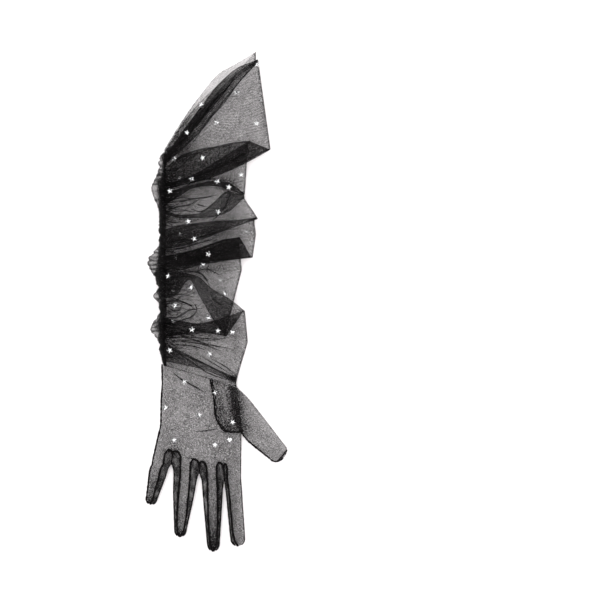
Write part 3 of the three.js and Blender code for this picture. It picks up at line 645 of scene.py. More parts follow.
def ruching(y):
    """How strongly the seam gathers the cloth, from 0 to 1, along the sleeve."""
    share = y / SLEEVE_LENGTH
    return smooth(*RUCHED, share) * (1 - EASED_BY * smooth(*EASED, share))


def gathers(x, y):
    """Thin crests that fan out from the gathered seam and die away across the sleeve."""
    fan = y + x * noises(y, x, FAN_SWAY)
    crests = 0
    for wide, long, seed, sharpness, reach in PLEATS:
        crests = crests + ridges(fan / wide, x / long, seed, sharpness) * np.exp(-x / reach)
    return ruching(y) * crests


def shades(x, y, ovals):
    """How much closer the net lies in soft ovals, as the sum of their bell curves."""
    total = np.zeros(np.broadcast(x, y).shape)
    for middle_x, middle_y, degrees, along, across, amount in ovals:
        c, s = math.cos(math.radians(degrees)), math.sin(math.radians(degrees))
        lean = c * (x - middle_x) + s * (y - middle_y)
        off = s * (x - middle_x) - c * (y - middle_y)
        total = total + amount * bell(lean, along) * bell(off, across)
    return total


def sleeve_surface():
    """The sleeve's points: across, reach times share; up, the channel's wall plus its layers.

    The wall closes round the folded edge as the root of one less share to a high power. The net
    lies closer in folds, in their creases, along the folded edge and hem, and in pleats.
    """
    columns = sleeve_columns()
    share, side, _ = columns
    y, layer, reach, ref, crease, cover = sleeve_rows(columns)
    edge = SLEEVE_WIDTH * reach + (layer - ref) * LAYER_PITCH
    x = share * edge
    opening = SEAM_HALF + (CHANNEL_HALF - SEAM_HALF) * smooth(0, OPENED, share)
    back = (side < 0).astype(float)
    swell = noises(x, y, SLEEVE_SWELL, BACK_SHIFT * back) * smooth(0, SWOLLEN, share)
    pleats = gathers(x, y + BACK_FAR * back)
    height = opening + layer * LAYER_PITCH + swell + PLEAT_HEIGHT * pleats
    z = np.maximum(middle_height(y) + side * height * rounded(share, EDGE_ROUNDING), TABLE_CLEAR)

    weight = SLEEVE_NET
    mottle = 1 + noises(x, y, SLEEVE_MOTTLE)
    plain = np.maximum(weight["plain"] * mottle * (1 + cover) + shades(x, y, SHADES), weight["least"])
    lines = weight["crease"] * crease + weight["edge"] * bell((1 - share) * edge, EDGE_WIDTH)
    hem = weight["hem"] * np.exp(-np.arange(len(y))[:, None] / HEM_ROWS)
    density = plain + lines + hem + pleats + ruching(y) * fading(x, SEAM_SHADOW)
    gather = STREAKS_LEFT + ruching(y) * fading(x, STREAK_SHARES)
    return np.stack([x, y, z], axis=-1), density, gather


def cloth_lengths(points):
    """Places on the cloth in millimetres, as the mean running length down rows and columns."""
    runs = []
    for axis in (1, 0):
        steps = np.linalg.norm(np.diff(points, axis=axis), axis=2).mean(axis=1 - axis)
        runs.append(np.concatenate([[0], np.cumsum(steps)]))
    return np.stack(np.broadcast_arrays(runs[0][None, :], runs[1][:, None]), axis=-1)


def turned_map(points, angle):
    """Places on cloth that lies flat, in millimetres, turned by the angle of its threads."""
    x, y = points[:, 0], points[:, 1]
    c, s = math.cos(angle), math.sin(angle)
    return np.stack([x * c + y * s, y * c - x * s], axis=1)


def grid_faces(rows, cols, wrapped=False):
    """Quads of a grid, row by row; wrapped joins the last column to the first."""
    i, j = np.meshgrid(np.arange(rows - 1), np.arange(cols if wrapped else cols - 1), indexing="ij")
    k = (j + 1) % cols
    quads = np.stack([i * cols + j, (i + 1) * cols + j, (i + 1) * cols + k, i * cols + k], axis=-1)
    return quads.reshape(-1, 4)


def make_mesh(name, points, faces, material, density=None, uv=None, gather=None):
    """A smooth mesh object at the origin from points in millimetres, used points only."""
    used, inverse = np.unique(faces, return_inverse=True)
    corners = inverse.reshape(faces.shape)
    mesh = bpy.data.meshes.new(name)
    mesh.from_pydata((points[used] * MM + SHIFT).tolist(), [], corners.tolist())
    mesh.polygons.foreach_set("use_smooth", np.ones(len(faces), dtype=bool))
    for label, values in (("cloth_cover", density), ("cloth_gather", gather)):
        if values is not None:
            layer = mesh.attributes.new(label, "FLOAT", "POINT")
            layer.data.foreach_set("value", values.reshape(-1)[used].astype(np.float32))
    if uv is not None:
        layer = mesh.uv_layers.new(name="cloth")
        layer.data.foreach_set("uv", uv.reshape(-1, 2)[faces.reshape(-1)].astype(np.float32).reshape(-1))
    mesh.validate()
    mesh.update()
    if not len(mesh.polygons):
        raise RuntimeError(f"{name} came out with no faces")
    mesh.materials.append(material)
    piece = bpy.data.objects.new(name, mesh)
    bpy.context.scene.collection.objects.link(piece)
    return piece


def past_nail(f):
    """Share of the way from the nail to the tip, at shares of a finger's length."""
    return np.clip((f - NAIL) / (1 - NAIL), 0, 1)


def finger_width(widths, f):
    """Width at shares of a finger's length: straight between three widths, then a round end."""
    body = np.interp(f, [0, 0.5, NAIL, 1], [widths[0], widths[1], widths[2], widths[2]])
    return body * rounded(past_nail(f), ROUND_END)


def finger_line(finger):
    """Root, direction and sideways direction of a finger, in millimetres."""
    angle = math.radians(finger["lean"])
    c, s = math.cos(angle), math.sin(angle)
    root = np.array([finger["root"][0] * PALM_WIDTH, -finger["root"][1] * PALM_LENGTH])
    return root, np.array([s, -c]), np.array([c, s])


def palm_edge(y, right):
    """The palm's outline at heights y below the wrist line."""
    return PALM_WIDTH * np.interp(-y / PALM_LENGTH, PALM[:, 0], PALM[:, 2 if right else 1])


def sector_edges():
    """Left and right edge of each finger's strip of the hand, from the wrist to the fingertip.

    On the palm the edges are straight lines to the webs, or the palm's outline on the outside.
    On the finger they are the centre line less and plus half the width, pulled to the web.
    """
    t_palm = np.linspace(0, 1, PALM_ROWS)[:, None]
    turn = np.linspace(0, 1, FINGER_ROWS + 1)[1:]
    t_finger = (1 - (1 - turn) ** 1.5)[:, None]
    wrist_x = palm_edge(np.array(10.0), False), palm_edge(np.array(0.0), True)
    starts = [wrist_x[0] + (wrist_x[1] - wrist_x[0]) * f for f in WRIST_SHARES]
    starts = [np.array([x, wrist_height(x) + WRIST_LAP]) for x in starts]
    webs = [np.array([x * PALM_WIDTH, -y * PALM_LENGTH]) for x, y in WEBS]
    outer_left, outer_right = (np.array([palm_edge(y, right), y])
                               for y, right in ((webs[0][1], False), (webs[-1][1], True)))
    ends = [outer_left, *webs, outer_right]
    sectors = []
    for n, finger in enumerate(FINGERS):
        root, along, across = finger_line(finger)
        edges = []
        for sign, m in ((-1, n), (1, n + 1)):
            palm = starts[m] + (ends[m] - starts[m]) * t_palm
            if m in (0, len(ends) - 1):
                palm[:, 0] = palm_edge(palm[:, 1], m > 0)
                palm[-1] = ends[m]
            f0 = np.dot(ends[m] - root, along) / finger["length"]
            f = f0 + (1 - f0) * t_finger
            body = root + along * f * finger["length"]
            body = body + sign * across * finger_width(finger["widths"], f) / 2
            edges.append(np.concatenate([palm, between(ends[m], body, smooth(0, 0.1, t_finger))]))
        sectors.append(edges)
    return sectors


def arch_shares(n):
    """Share of the palm's rows at which the arches left and right of a finger begin."""
    shares = []
    for web in (max(n - 1, 0), min(n, len(WEBS) - 1)):
        depth = WEBS[web][1] * PALM_LENGTH + wrist_height(WEBS[web][0] * PALM_WIDTH)
        shares.append(1 - ARCHES[web] / depth)
    return shares


def strip_columns(n, cut):
    """Shares from -1 to 1 across a finger's strip, its seam's column at the cut of each row."""
    steps = np.linspace(0, 1, HALF_COLUMNS - SEAM_COLUMN + 1)[1:][None, :]
    halves = []
    for own in (cut, cut * (PINKY_CUT if n == 0 else 1.0)):
        inner = np.linspace(0, 1, SEAM_COLUMN + 1)[None, :] * own
        halves.append(np.concatenate([inner, own + (1 - own) * np.sin(steps * np.pi / 2)], axis=1))
    return np.concatenate([-halves[0][:, :0:-1], halves[1]], axis=1)


def strip_flat(n, edges, t, cut, c):
    """Places of a strip on the table: straight between its edges, and drooping at its arches.

    The droop is a bell along the palm times one less a half circle between seam and edge.
    """
    left, right = edges[n]
    rows = len(left)
    arch = np.where(c < 0, *arch_shares(n))
    own_cut = np.where(c < 0, cut, cut * (PINKY_CUT if n == 0 else 1.0))
    across = np.clip((np.abs(c) - own_cut) / (1 - own_cut), 0, 1)
    droop = ARCH_DROOP * (1 - rounded(2 * across - 1, 2)) * bell(t[:, None] - arch, ARCH_SPAN)
    row = np.clip(t[:, None] + droop, 0, 2) * (PALM_ROWS - 1)
    row = np.where(t[:, None] > 1, np.arange(rows)[:, None], row)
    low = np.clip(np.floor(row).astype(int), 0, rows - 2)
    f = (row - low)[..., None]
    return between(between(left[low], left[low + 1], f), between(right[low], right[low + 1], f),
                   ((c + 1) / 2)[..., None])


def hand_sector(n, edges):
    """One finger's strip of the hand: points of its front and back, and shares across it.

    Shares run from -1 to 1 between the strip's edges. The height is the palm's profile across
    the whole hand, which gives way to the finger's own below the web.
    """
    left, right = edges[n]
    t = np.concatenate([np.linspace(0, 1, PALM_ROWS), 1 + np.linspace(0, 1, FINGER_ROWS + 1)[1:]])
    share_down = np.clip(t - 1, 0, 1)
    width = np.linalg.norm(right - left, axis=1)
    face = np.interp(share_down, FACE_STATIONS, FACE_HALVES)
    cut = np.clip(2 * face / np.maximum(width, 1e-3), *FACE_LIMITS)[:, None]
    c = strip_columns(n, cut)
    flat = strip_flat(n, edges, t, cut, c)
    x, y = flat[..., 0], flat[..., 1]
    share_down = share_down[:, None]
    tall = WRIST_HEIGHT + (KNUCKLE_HEIGHT - WRIST_HEIGHT) * np.clip(-y / PALM_LENGTH, 0, 1)
    tall = tall + (FINGER_HEIGHT - KNUCKLE_HEIGHT) * share_down
    palm_left, palm_right = palm_edge(y, False), palm_edge(y, True)
    over = np.clip(2 * (x - palm_left) / (palm_right - palm_left) - 1, -1, 1)
    palm_profile = rounded(over, PALM_ROUNDING)
    if n == 0:
        palm_profile[:, 0] = 0
    if n == len(FINGERS) - 1:
        palm_profile[:, -1] = 0
    finger_profile = rounded(c, FINGER_ROUNDING) * rounded(past_nail(share_down), ROUND_TOP)
    part = smooth(0.86, 1.0, t)[:, None] * smooth(0.5, 1.0, np.abs(c)) + smooth(0.97, 1.06, t)[:, None]
    profile = between(palm_profile, finger_profile, np.clip(part, 0, 1))
    swell = noises(x, y, HAND_SWELL) + 0.5 * ridges(x / 40.0 + y / 60.0, y / 17.0, 22, 6)
    swell = swell * (1 - share_down) * profile
    half = (tall - WALL) / 2 * profile
    heights = tall / 2 + half + swell, tall / 2 - half
    layers = [np.concatenate([flat, np.maximum(z, 0.1)[..., None]], axis=2) for z in heights]
    return layers, c, t


def inside_outline(x, y, outline):
    """Whether points lie inside a closed outline: an odd number of its sides is to their right."""
    inside = np.zeros(x.shape, dtype=bool)
    for (x1, y1), (x2, y2) in zip(outline, np.roll(outline, -1, axis=0)):
        crosses = (y1 > y) != (y2 > y)
        rise = y2 - y1 if y2 != y1 else 1e-9
        inside ^= crosses & (x < x1 + (y - y1) * (x2 - x1) / rise)
    return inside


def inset_outline():
    """The thumb's inset on the palm as a closed outline in millimetres, past the palm's edge."""
    points = [(x * PALM_WIDTH, -y * PALM_LENGTH) for x, y in THUMB_INSET]
    right, above = 1.3 * PALM_WIDTH, 60
    return np.array([*points, (right, points[-1][1]), (right, above), (points[0][0], above)])


def hand_seams(n, side, points, arches, t):
    """Sewn lines of one face of a finger's strip, each with its share of the seam radius."""
    first, last = HALF_COLUMNS - SEAM_COLUMN, HALF_COLUMNS + SEAM_COLUMN
    left_row, right_row = (int(np.argmax(t >= share)) for share in arches)
    seams = []
    if n == 0 and side > 0:
        seams.append((points[:-1, 0], SEWN["outer"]))
        seams.append((points[:-2, 2], SEWN["pinky_front"]))
    if n > 0:
        inner = np.concatenate([points[left_row, :first + 1], points[left_row:, first]])
        seams.append((inner, SEWN["inner"]))
        seams.append((points[PALM_ROWS:-2, 1], SEWN["side"]))
        seams.append((points[left_row:PALM_ROWS, 0], SEWN["side"]))
    if n < len(FINGERS) - 1:
        inner = np.concatenate([points[right_row, last:][::-1], points[right_row:, last]])
        seams.append((inner, SEWN["inner"]))
        seams.append((points[PALM_ROWS:-2, -2], SEWN["side"]))
    elif side > 0:
        seams.append((points[8:-2, -1], SEWN["index_edge"]))
    return seams


def hand_surfaces():
    """The hand's faces and its three fourchettes as point, face, density and cloth arrays."""
    edges = sector_edges()
    outline = inset_outline()
    store = {"hand": [], "fourchette_1": [], "fourchette_2": [], "fourchette_3": []}
    seams = []
    for n in range(len(FINGERS)):
        layers, c, t = hand_sector(n, edges)
        rows, cols = c.shape
        quads = grid_faces(rows, cols)
        row_of, col_of = np.divmod(quads[:, 0], cols)
        arches = arch_shares(n)
        left = (t[row_of] >= arches[0]) & (col_of < HALF_COLUMNS - SEAM_COLUMN) & (n > 0)
        right = (t[row_of] >= arches[1]) & (col_of >= HALF_COLUMNS + SEAM_COLUMN)
        right = right & (n < len(FINGERS) - 1)
        edge_line = bell((1 - np.abs(c)) * 9, 0.9) * smooth(0.95, 1.02, t)[:, None]
        if n == 0:
            edge_line[:, 0] = 2.0
        if n == len(FINGERS) - 1:
            edge_line[:, -1] = 0.8
        edge_line = edge_line.reshape(-1)
        tip = np.repeat(smooth(TIP_STARTS[n], TIP_FULL, t) if n < len(TIP_STARTS) else 0 * t, cols)
        for side, points, threads in zip((1, -1), layers, HAND_THREADS):
            flat = points.reshape(-1, 3)
            x, y = flat[:, 0], flat[:, 1]
            turned = quads if side > 0 else quads[:, ::-1]
            shade = shades(x, y, HAND_SHADES)
            density = HAND_NET["plain"] + noises(x, y, HAND_MOTTLE) + HAND_NET["edge"] * edge_line
            density = density + HAND_NET["tip"] * tip + shade
            lengths = turned_map(flat, threads) + MAP_APART * (side < 0)
            centre = flat[quads].mean(axis=1)
            open_inset = (side > 0) & inside_outline(centre[:, 0], centre[:, 1], outline)
            store["hand"].append((flat, turned[~left & ~right & ~open_inset], density, lengths))
            thick = STRIP_NET["plain"] + noises(x, y, STRIP_MOTTLE) + STRIP_NET["edge"] * edge_line
            thick = thick + STRIP_NET["tip"] * tip + STRIP_NET["shade"] * shade
            if n > 0:
                store[f"fourchette_{n}"].append((flat, turned[left], thick, lengths))
            if n < len(FINGERS) - 1:
                store[f"fourchette_{n + 1}"].append((flat, turned[right], thick, lengths))
            seams.extend(hand_seams(n, side, points, arches, t))
    return store, seams


def piece_points(name):
    """Points of a piece in millimetres from the wrist corner."""
    mesh = bpy.data.objects[name].data
    values = np.empty(len(mesh.vertices) * 3, dtype=np.float32)
    mesh.vertices.foreach_get("co", values)
    return (values.reshape(-1, 3) - SHIFT) / MM


def joined(parts):
    """Parts as one: their points, their faces numbered on, and any further arrays in a row."""
    points, faces, *others = zip(*parts)
    offsets = np.cumsum([0, *[len(part) for part in points[:-1]]])
    faces = [part + offset for part, offset in zip(faces, offsets)]
    return [np.concatenate(arrays) for arrays in (points, faces, *others)]


def weld(piece):
    """Joins points that lie on the same place, and drops faces that this closes."""
    work = bmesh.new()
    work.from_mesh(piece.data)
    bmesh.ops.remove_doubles(work, verts=work.verts, dist=WELD)
    work.to_mesh(piece.data)
    work.free()


def thumb_flat(c):
    """The thumb's rows on the table: from the inset's seam to its mouth, then out to its tip.

    On the palm the rows blend from the seam's line to the mouth's. On the thumb they are its
    centre line plus the share across times half the width, pulled to the mouth at the start.
    """
    root, along, across = finger_line(THUMB)
    seam = np.array([(x * PALM_WIDTH, -y * PALM_LENGTH) for x, y in THUMB_INSET])
    seam[0] = (seam[0][0], wrist_height(seam[0][0]) - SEAM_GAP)
    length = np.concatenate([[0], np.cumsum(np.linalg.norm(np.diff(seam, axis=0), axis=1))])
    place = (1 - c[::-1]) / 2 * length[-1]
    seam_line = np.stack([np.interp(place, length, seam[:, k]) for k in (0, 1)], axis=1)
    top_x = 0.95 * PALM_WIDTH
    top = np.array([top_x, wrist_height(top_x) - SEAM_GAP - 0.4])
    low = np.array([1.0 * PALM_WIDTH, -0.62 * PALM_LENGTH])
    mouth = top + (low - top) * ((c + 1) / 2)[:, None]
    inset = np.arange(INSET_ROWS) / INSET_ROWS
    rows = [between(seam_line, mouth, f) for f in inset]
    steps = 1 - (1 - np.linspace(0, 1, THUMB_ROWS)) ** 1.4
    start = np.dot(mouth - root, along) / THUMB["length"]
    lateral = np.dot(mouth - root, across)
    for f in steps:
        share = start + (1 - start) * f
        half = finger_width(THUMB["widths"], np.clip(share, 0, 1)) / 2
        offset = between(lateral, -c * half, smooth(0, 0.3, f))
        rows.append(root + along * (share * THUMB["length"])[:, None] + across * offset[:, None])
    return np.array(rows), np.concatenate([inset - 1, steps])[:, None]


def thumb_surface():
    """The thumb: its inset over the palm, then its front and back round to the tip.

    Columns run across the thumb from its upper edge to its lower one. The stage of a row runs
    from -1 at the inset's seam to 0 where the thumb leaves the palm and 1 at its tip.
    """
    c = np.linspace(-1, 1, THUMB_COLUMNS)
    c = np.sign(c) * np.sin(np.abs(c) * np.pi / 2)
    flat, stage = thumb_flat(c)
    x, y = flat[..., 0], flat[..., 1]
    tall = THUMB_HEIGHT + (THUMB_TIP_HEIGHT - THUMB_HEIGHT) * np.clip(stage, 0, 1)
    profile = rounded(c, THUMB_ROUNDING)[None, :] * rounded(past_nail(stage), ROUND_TOP)
    down = np.clip(-y / PALM_LENGTH, 0, 1)
    palm_top = WRIST_HEIGHT - WALL / 2 + (KNUCKLE_HEIGHT - WRIST_HEIGHT) * down
    palm_top = palm_top * (1 - 0.5 * smooth(0.9, 1.02, x / PALM_WIDTH))
    half = (tall - WALL) / 2 * profile
    even = 0 * stage + 0 * c
    bulge = 0.5 * ridges(c * 2.2 + even, stage * 1.4 + even, 41, 4) * (stage < 0)
    z_front = between(palm_top, tall / 2 + half, smooth(-0.8, 0.05, stage)) + bulge + 0.3
    z_back = np.maximum(tall / 2 - half, 0.12)
    begin = INSET_ROWS - TUCKED_ROWS
    front_points = np.concatenate([flat, z_front[..., None]], axis=2)
    back_points = np.concatenate([flat, z_back[..., None]], axis=2)[begin:]

    weight = THUMB_NET
    tuck = bell(stage + 0.12, 0.16)
    edge = bell((1 - np.abs(c)) * 14, 1.0) + even
    lower = bell((1 - c) * 14 - 3.2, 0.8) * (stage > 0)
    creases = ridges(x / 3.4 + y / 40.0, y / 24.0, 43, 6) * (stage < 0.05)
    knot = bell(x - KNOT[0], KNOT[2]) * bell(y - KNOT[1], KNOT[3])
    strip = smooth(-0.42, -0.3, stage) * (1 - smooth(0.0, 0.12, stage)) * (0.6 + 0.4 * creases)
    plain = weight["plain"] + noises(x, y, THUMB_MOTTLE) + weight["edge"] * edge
    density = plain + weight["lower"] * lower + weight["tuck"] * tuck + weight["crease"] * creases
    density = density + weight["inset"] * (stage < 0) + weight["strip"] * strip + weight["knot"] * knot
    density = density + weight["tip"] * smooth(0.93, 0.98, stage)
    back_density = (plain + weight["under"] * tuck)[begin:]
    parts = []
    sides = ((front_points, density, False), (back_points, back_density, True))
    for (points, values, turned), threads in zip(sides, THUMB_THREADS):
        faces = grid_faces(*points.shape[:2])
        faces = faces[:, ::-1] if turned else faces
        lengths = turned_map(points.reshape(-1, 3), threads) + MAP_APART * turned
        parts.append((points.reshape(-1, 3), faces, values.reshape(-1), lengths))
    seam = front_points[0]
    ruffle = seam + [1.6, 0.6, 0.2] + 0.8 * np.sin(np.arange(THUMB_COLUMNS)[:, None] * [1.9, 2.3, 0])
    lines = {"inset": seam, "ruffle": ruffle, "thumb_lower": front_points[INSET_ROWS:-3, -4],
             "thumb_edge": front_points[INSET_ROWS:, -1], "thumb_tip": front_points[-5]}
    return parts, [(line, SEWN[name]) for name, line in lines.items()]


def seam_puffs(y):
    """How far the gathered seam stands out to its left."""
    share = y / SLEEVE_LENGTH
    out = np.full_like(y, SEAM_WIDTH)
    for at, half, reach in PUFFS:
        d = np.clip(np.abs(share - at) / half, 0, 1)
        out = out + reach * np.cos(d * np.pi / 2) ** 2
    return out


def seam_surface():
    """The bunched seam as a crumpled tube whose left side swells into the puffs.

    Across, half of one less the cosine of the angle takes each ring from its right edge to its
    left one. Up, the sine times half the height lies on the middle plane.
    """
    y = np.linspace(WRIST_LINE - 1, SEAM_END * SLEEVE_LENGTH, SEAM_ROWS)[:, None]
    turn = np.linspace(0, 2 * np.pi, SEAM_COLUMNS + 1)[:-1][None, :]
    bulge = bell(y - BULGE[0], BULGE[1])
    grown = smooth(*SEAM_GROWS, y)

    def along(length, seed):
        """Noise that changes along the seam only."""
        return lattice_noise(y / length, 0 * y, seed)

    out = seam_puffs(y) + BULGE[2] * bulge
    scallop = SCALLOP_HEIGHT * np.abs(np.sin(y / SCALLOP_LENGTH + 2.6 * along(9.0, 50)))
    scallop = (scallop + 0.7 * along(1.8, 55)) * grown
    out = SEAM_FLAT + (out - SEAM_FLAT) * grown
    end = smooth(0, SEAM_ENDS, y - y[0]) * smooth(0, SEAM_ENDS, y[-1] - y)
    right = 0.4 + 1.8 * np.abs(along(3.2, 54)) + np.abs(along(1.5, 57))
    width = (out + scallop - 0.6) * (0.35 + 0.65 * end)
    x = right - (width + right) * (1 - np.cos(turn)) / 2
    layers = 2 + 2 * smooth(0.45, 0.6, y / SLEEVE_LENGTH)
    top = (SEAM_HALF + 1.6 + layers * LAYER_PITCH) * (0.3 + 0.7 * end)
    low = (SEAM_HALF + 2 * LAYER_PITCH) * (0.3 + 0.7 * end)
    puff = smooth(SEAM_WIDTH, SEAM_WIDTH + 5, -x)
    tall = np.where(np.sin(turn) > 0, top, low) * (1 - 0.55 * puff)
    crumple = noises(y, turn, SEAM_CRUMPLE)
    z = middle_height(y) + np.sin(turn) * tall + 0.7 * crumple * end
    x = x + 0.5 * crumple * np.sin(turn / 2) * end
    points = np.stack(np.broadcast_arrays(x, y, np.maximum(z, 0.3)), axis=-1)

    middle = 2.6 * (1 - grown) - SEAM_WIDTH + 1.2 * along(7.0, 56)
    middle = middle + 4.0 * smooth(*BAND_TURNS, y) - 5.0 * bulge
    band = smooth(-2.2, 1.6, points[..., 0] - middle)
    pleats = ridges(y / 2.4, points[..., 0] / 14.0, 53, 4) * (1 - 0.4 * band)
    rim = smooth(0.82, 1.0, (1 - np.cos(turn)) / 2)
    weight = SEAM_NET
    density = weight["plain"] + weight["band"] * band + weight["pleat"] * pleats + weight["rim"] * rim
    return points, density


def top_of(x, y, clouds):
    """Height of the uppermost of the given points within reach of each place."""
    cloud = np.concatenate(clouds)
    found = np.zeros(len(x))
    reach, batch = 2.2, 200
    for k in range(0, len(x), batch):
        part = slice(k, k + batch)
        dx = cloud[None, :, 0] - x[part, None]
        dy = cloud[None, :, 1] - y[part, None]
        near = dx**2 + dy**2 < reach**2
        found[part] = np.where(near, cloud[None, :, 2], 0).max(axis=1)
    return found


def rounded_line(corners, pitch):
    """A smooth line through corners, as a Catmull-Rom curve with points at about the pitch."""
    p = np.asarray(corners, dtype=float)
    p = np.concatenate([[2 * p[0] - p[1]], p, [2 * p[-1] - p[-2]]])
    parts = []
    for a, b, c, d in zip(p[:-3], p[1:-2], p[2:-1], p[3:]):
        f = np.arange(0, 1, pitch / max(np.linalg.norm(c - b), pitch))[:, None]
        parts.append(0.5 * (2 * b + (c - a) * f + (2 * a - 5 * b + 4 * c - d) * f**2
                            + (3 * b - a - 3 * c + d) * f**3))
    return np.concatenate([*parts, p[-2:-1]])


def seam_wrinkles():
    """Short wrinkles that fan out of the gathered seam, bunched where it is drawn up most."""
    random = np.random.default_rng(18)
    lines = []
    for _ in range(BUNCH_WRINKLES):
        at, spread = BUNCHES[random.integers(len(BUNCHES))]
        y = random.normal(at, spread)
        reach = random.uniform(5, 13) + random.exponential(7)
        slope = random.normal(0.05, 0.22)
        bend = random.normal(0, 0.006)
        x = np.linspace(-2, reach, 6)
        wave = random.normal(0, 0.5, 6)
        lines.append(np.stack([x, y + slope * x + bend * x**2 + wave], axis=1))
    return lines


def tube_along(path, radius, seed=0, taper=0.0):
    """A tube round a path: rings of six points set across it, wider and narrower by a noise.

    A taper above zero thins both ends as the power of the sine along the tube.
    """
    sides, ring_pitch, wobble = 6, 0.9, 0.3
    path = np.asarray(path)
    step = np.linalg.norm(np.diff(path, axis=0), axis=1)
    path = path[np.concatenate([[True], step > 0.02])]
    length = np.concatenate([[0], np.cumsum(np.linalg.norm(np.diff(path, axis=0), axis=1))])
    count = max(4, int(length[-1] / ring_pitch))
    at = np.linspace(0, length[-1], count)
    line = np.stack([np.interp(at, length, path[:, k]) for k in range(3)], axis=1)
    along = np.gradient(line, axis=0)
    along /= np.linalg.norm(along, axis=1, keepdims=True)
    side = np.cross(along, [0, 0, 1.0])
    side /= np.maximum(np.linalg.norm(side, axis=1, keepdims=True), 1e-6)
    up = np.cross(side, along)
    angle = np.linspace(0, 2 * np.pi, sides + 1)[:-1]
    size = radius * (1 + wobble * lattice_noise(at / 1.3, 0 * at + seed, 61))
    size[[0, -1]] *= 0.3
    size = size * np.maximum(np.sin(np.pi * np.clip(at / length[-1], 0.02, 0.98)), 0.05) ** taper
    ring = np.cos(angle)[None, :, None] * side[:, None] + np.sin(angle)[None, :, None] * up[:, None]
    points = line[:, None] + ring * size[:, None, None]
    return points.reshape(-1, 3), grid_faces(count, sides, wrapped=True)[:, ::-1]


def star_shape(size, dome, waist):
    """A five-pointed star: a raised middle, five long ridges and five short valleys."""
    corners = 10
    k = np.arange(corners)
    n = (k + 1) % corners
    turn = np.pi / 2 + k * 2 * np.pi / corners
    radius = size / 2 * np.where(k % 2 == 0, 1.0, waist)
    rim = np.stack([radius * np.cos(turn), radius * np.sin(turn), 0 * turn], axis=1)
    under = rim - [0, 0, STAR_THICKNESS]
    points = np.concatenate([rim, under, [[0, 0, dome], [0, 0, -STAR_THICKNESS]]])
    top, bottom = np.full(corners, 2 * corners), np.full(corners, 2 * corners + 1)
    low_k, low_n = k + corners, n + corners
    sides = [(k, n, top), (low_k, low_n, n), (low_k, n, k), (low_n, low_k, bottom)]
    return points, np.concatenate([np.stack(side, axis=1) for side in sides])


def new_material(name, inputs):
    """A material whose shader has the given inputs set, with its nodes, links and shader."""
    material = bpy.data.materials.new(name)
    material.use_nodes = True
    tree = material.node_tree
    shader = tree.nodes["Principled BSDF"]
    for label, value in inputs.items():
        shader.inputs[label].default_value = value
    return material, tree.nodes, tree.links, shader


def add_bump(nodes, links, shader, height, strength, distance):
    """Small relief that follows a height, over the distance in metres."""
    bump = nodes.new("ShaderNodeBump")
    bump.inputs["Strength"].default_value = strength
    bump.inputs["Distance"].default_value = distance
    links.new(height, bump.inputs["Height"])
    links.new(bump.outputs[0], shader.inputs["Normal"])


def add_texture(nodes, links, kind, place, **inputs):
    """A texture node of a kind, read at a place, with its inputs set by their names."""
    texture = nodes.new(kind)
    for label, value in inputs.items():
        texture.inputs[label].default_value = value
    links.new(place, texture.inputs["Vector"])
    return texture


def object_place(nodes):
    """Places in metres on the piece itself."""
    return nodes.new("ShaderNodeTexCoord").outputs["Object"]


def add_fade(nodes, links, value, start, end):
    """Zero at the start value and one at the end value, with a smooth cubic between."""
    fade = nodes.new("ShaderNodeMapRange")
    fade.interpolation_type = "SMOOTHSTEP"
    fade.inputs["From Min"].default_value = start
    fade.inputs["From Max"].default_value = end
    links.new(value, fade.inputs["Value"])
    return fade.outputs[0]


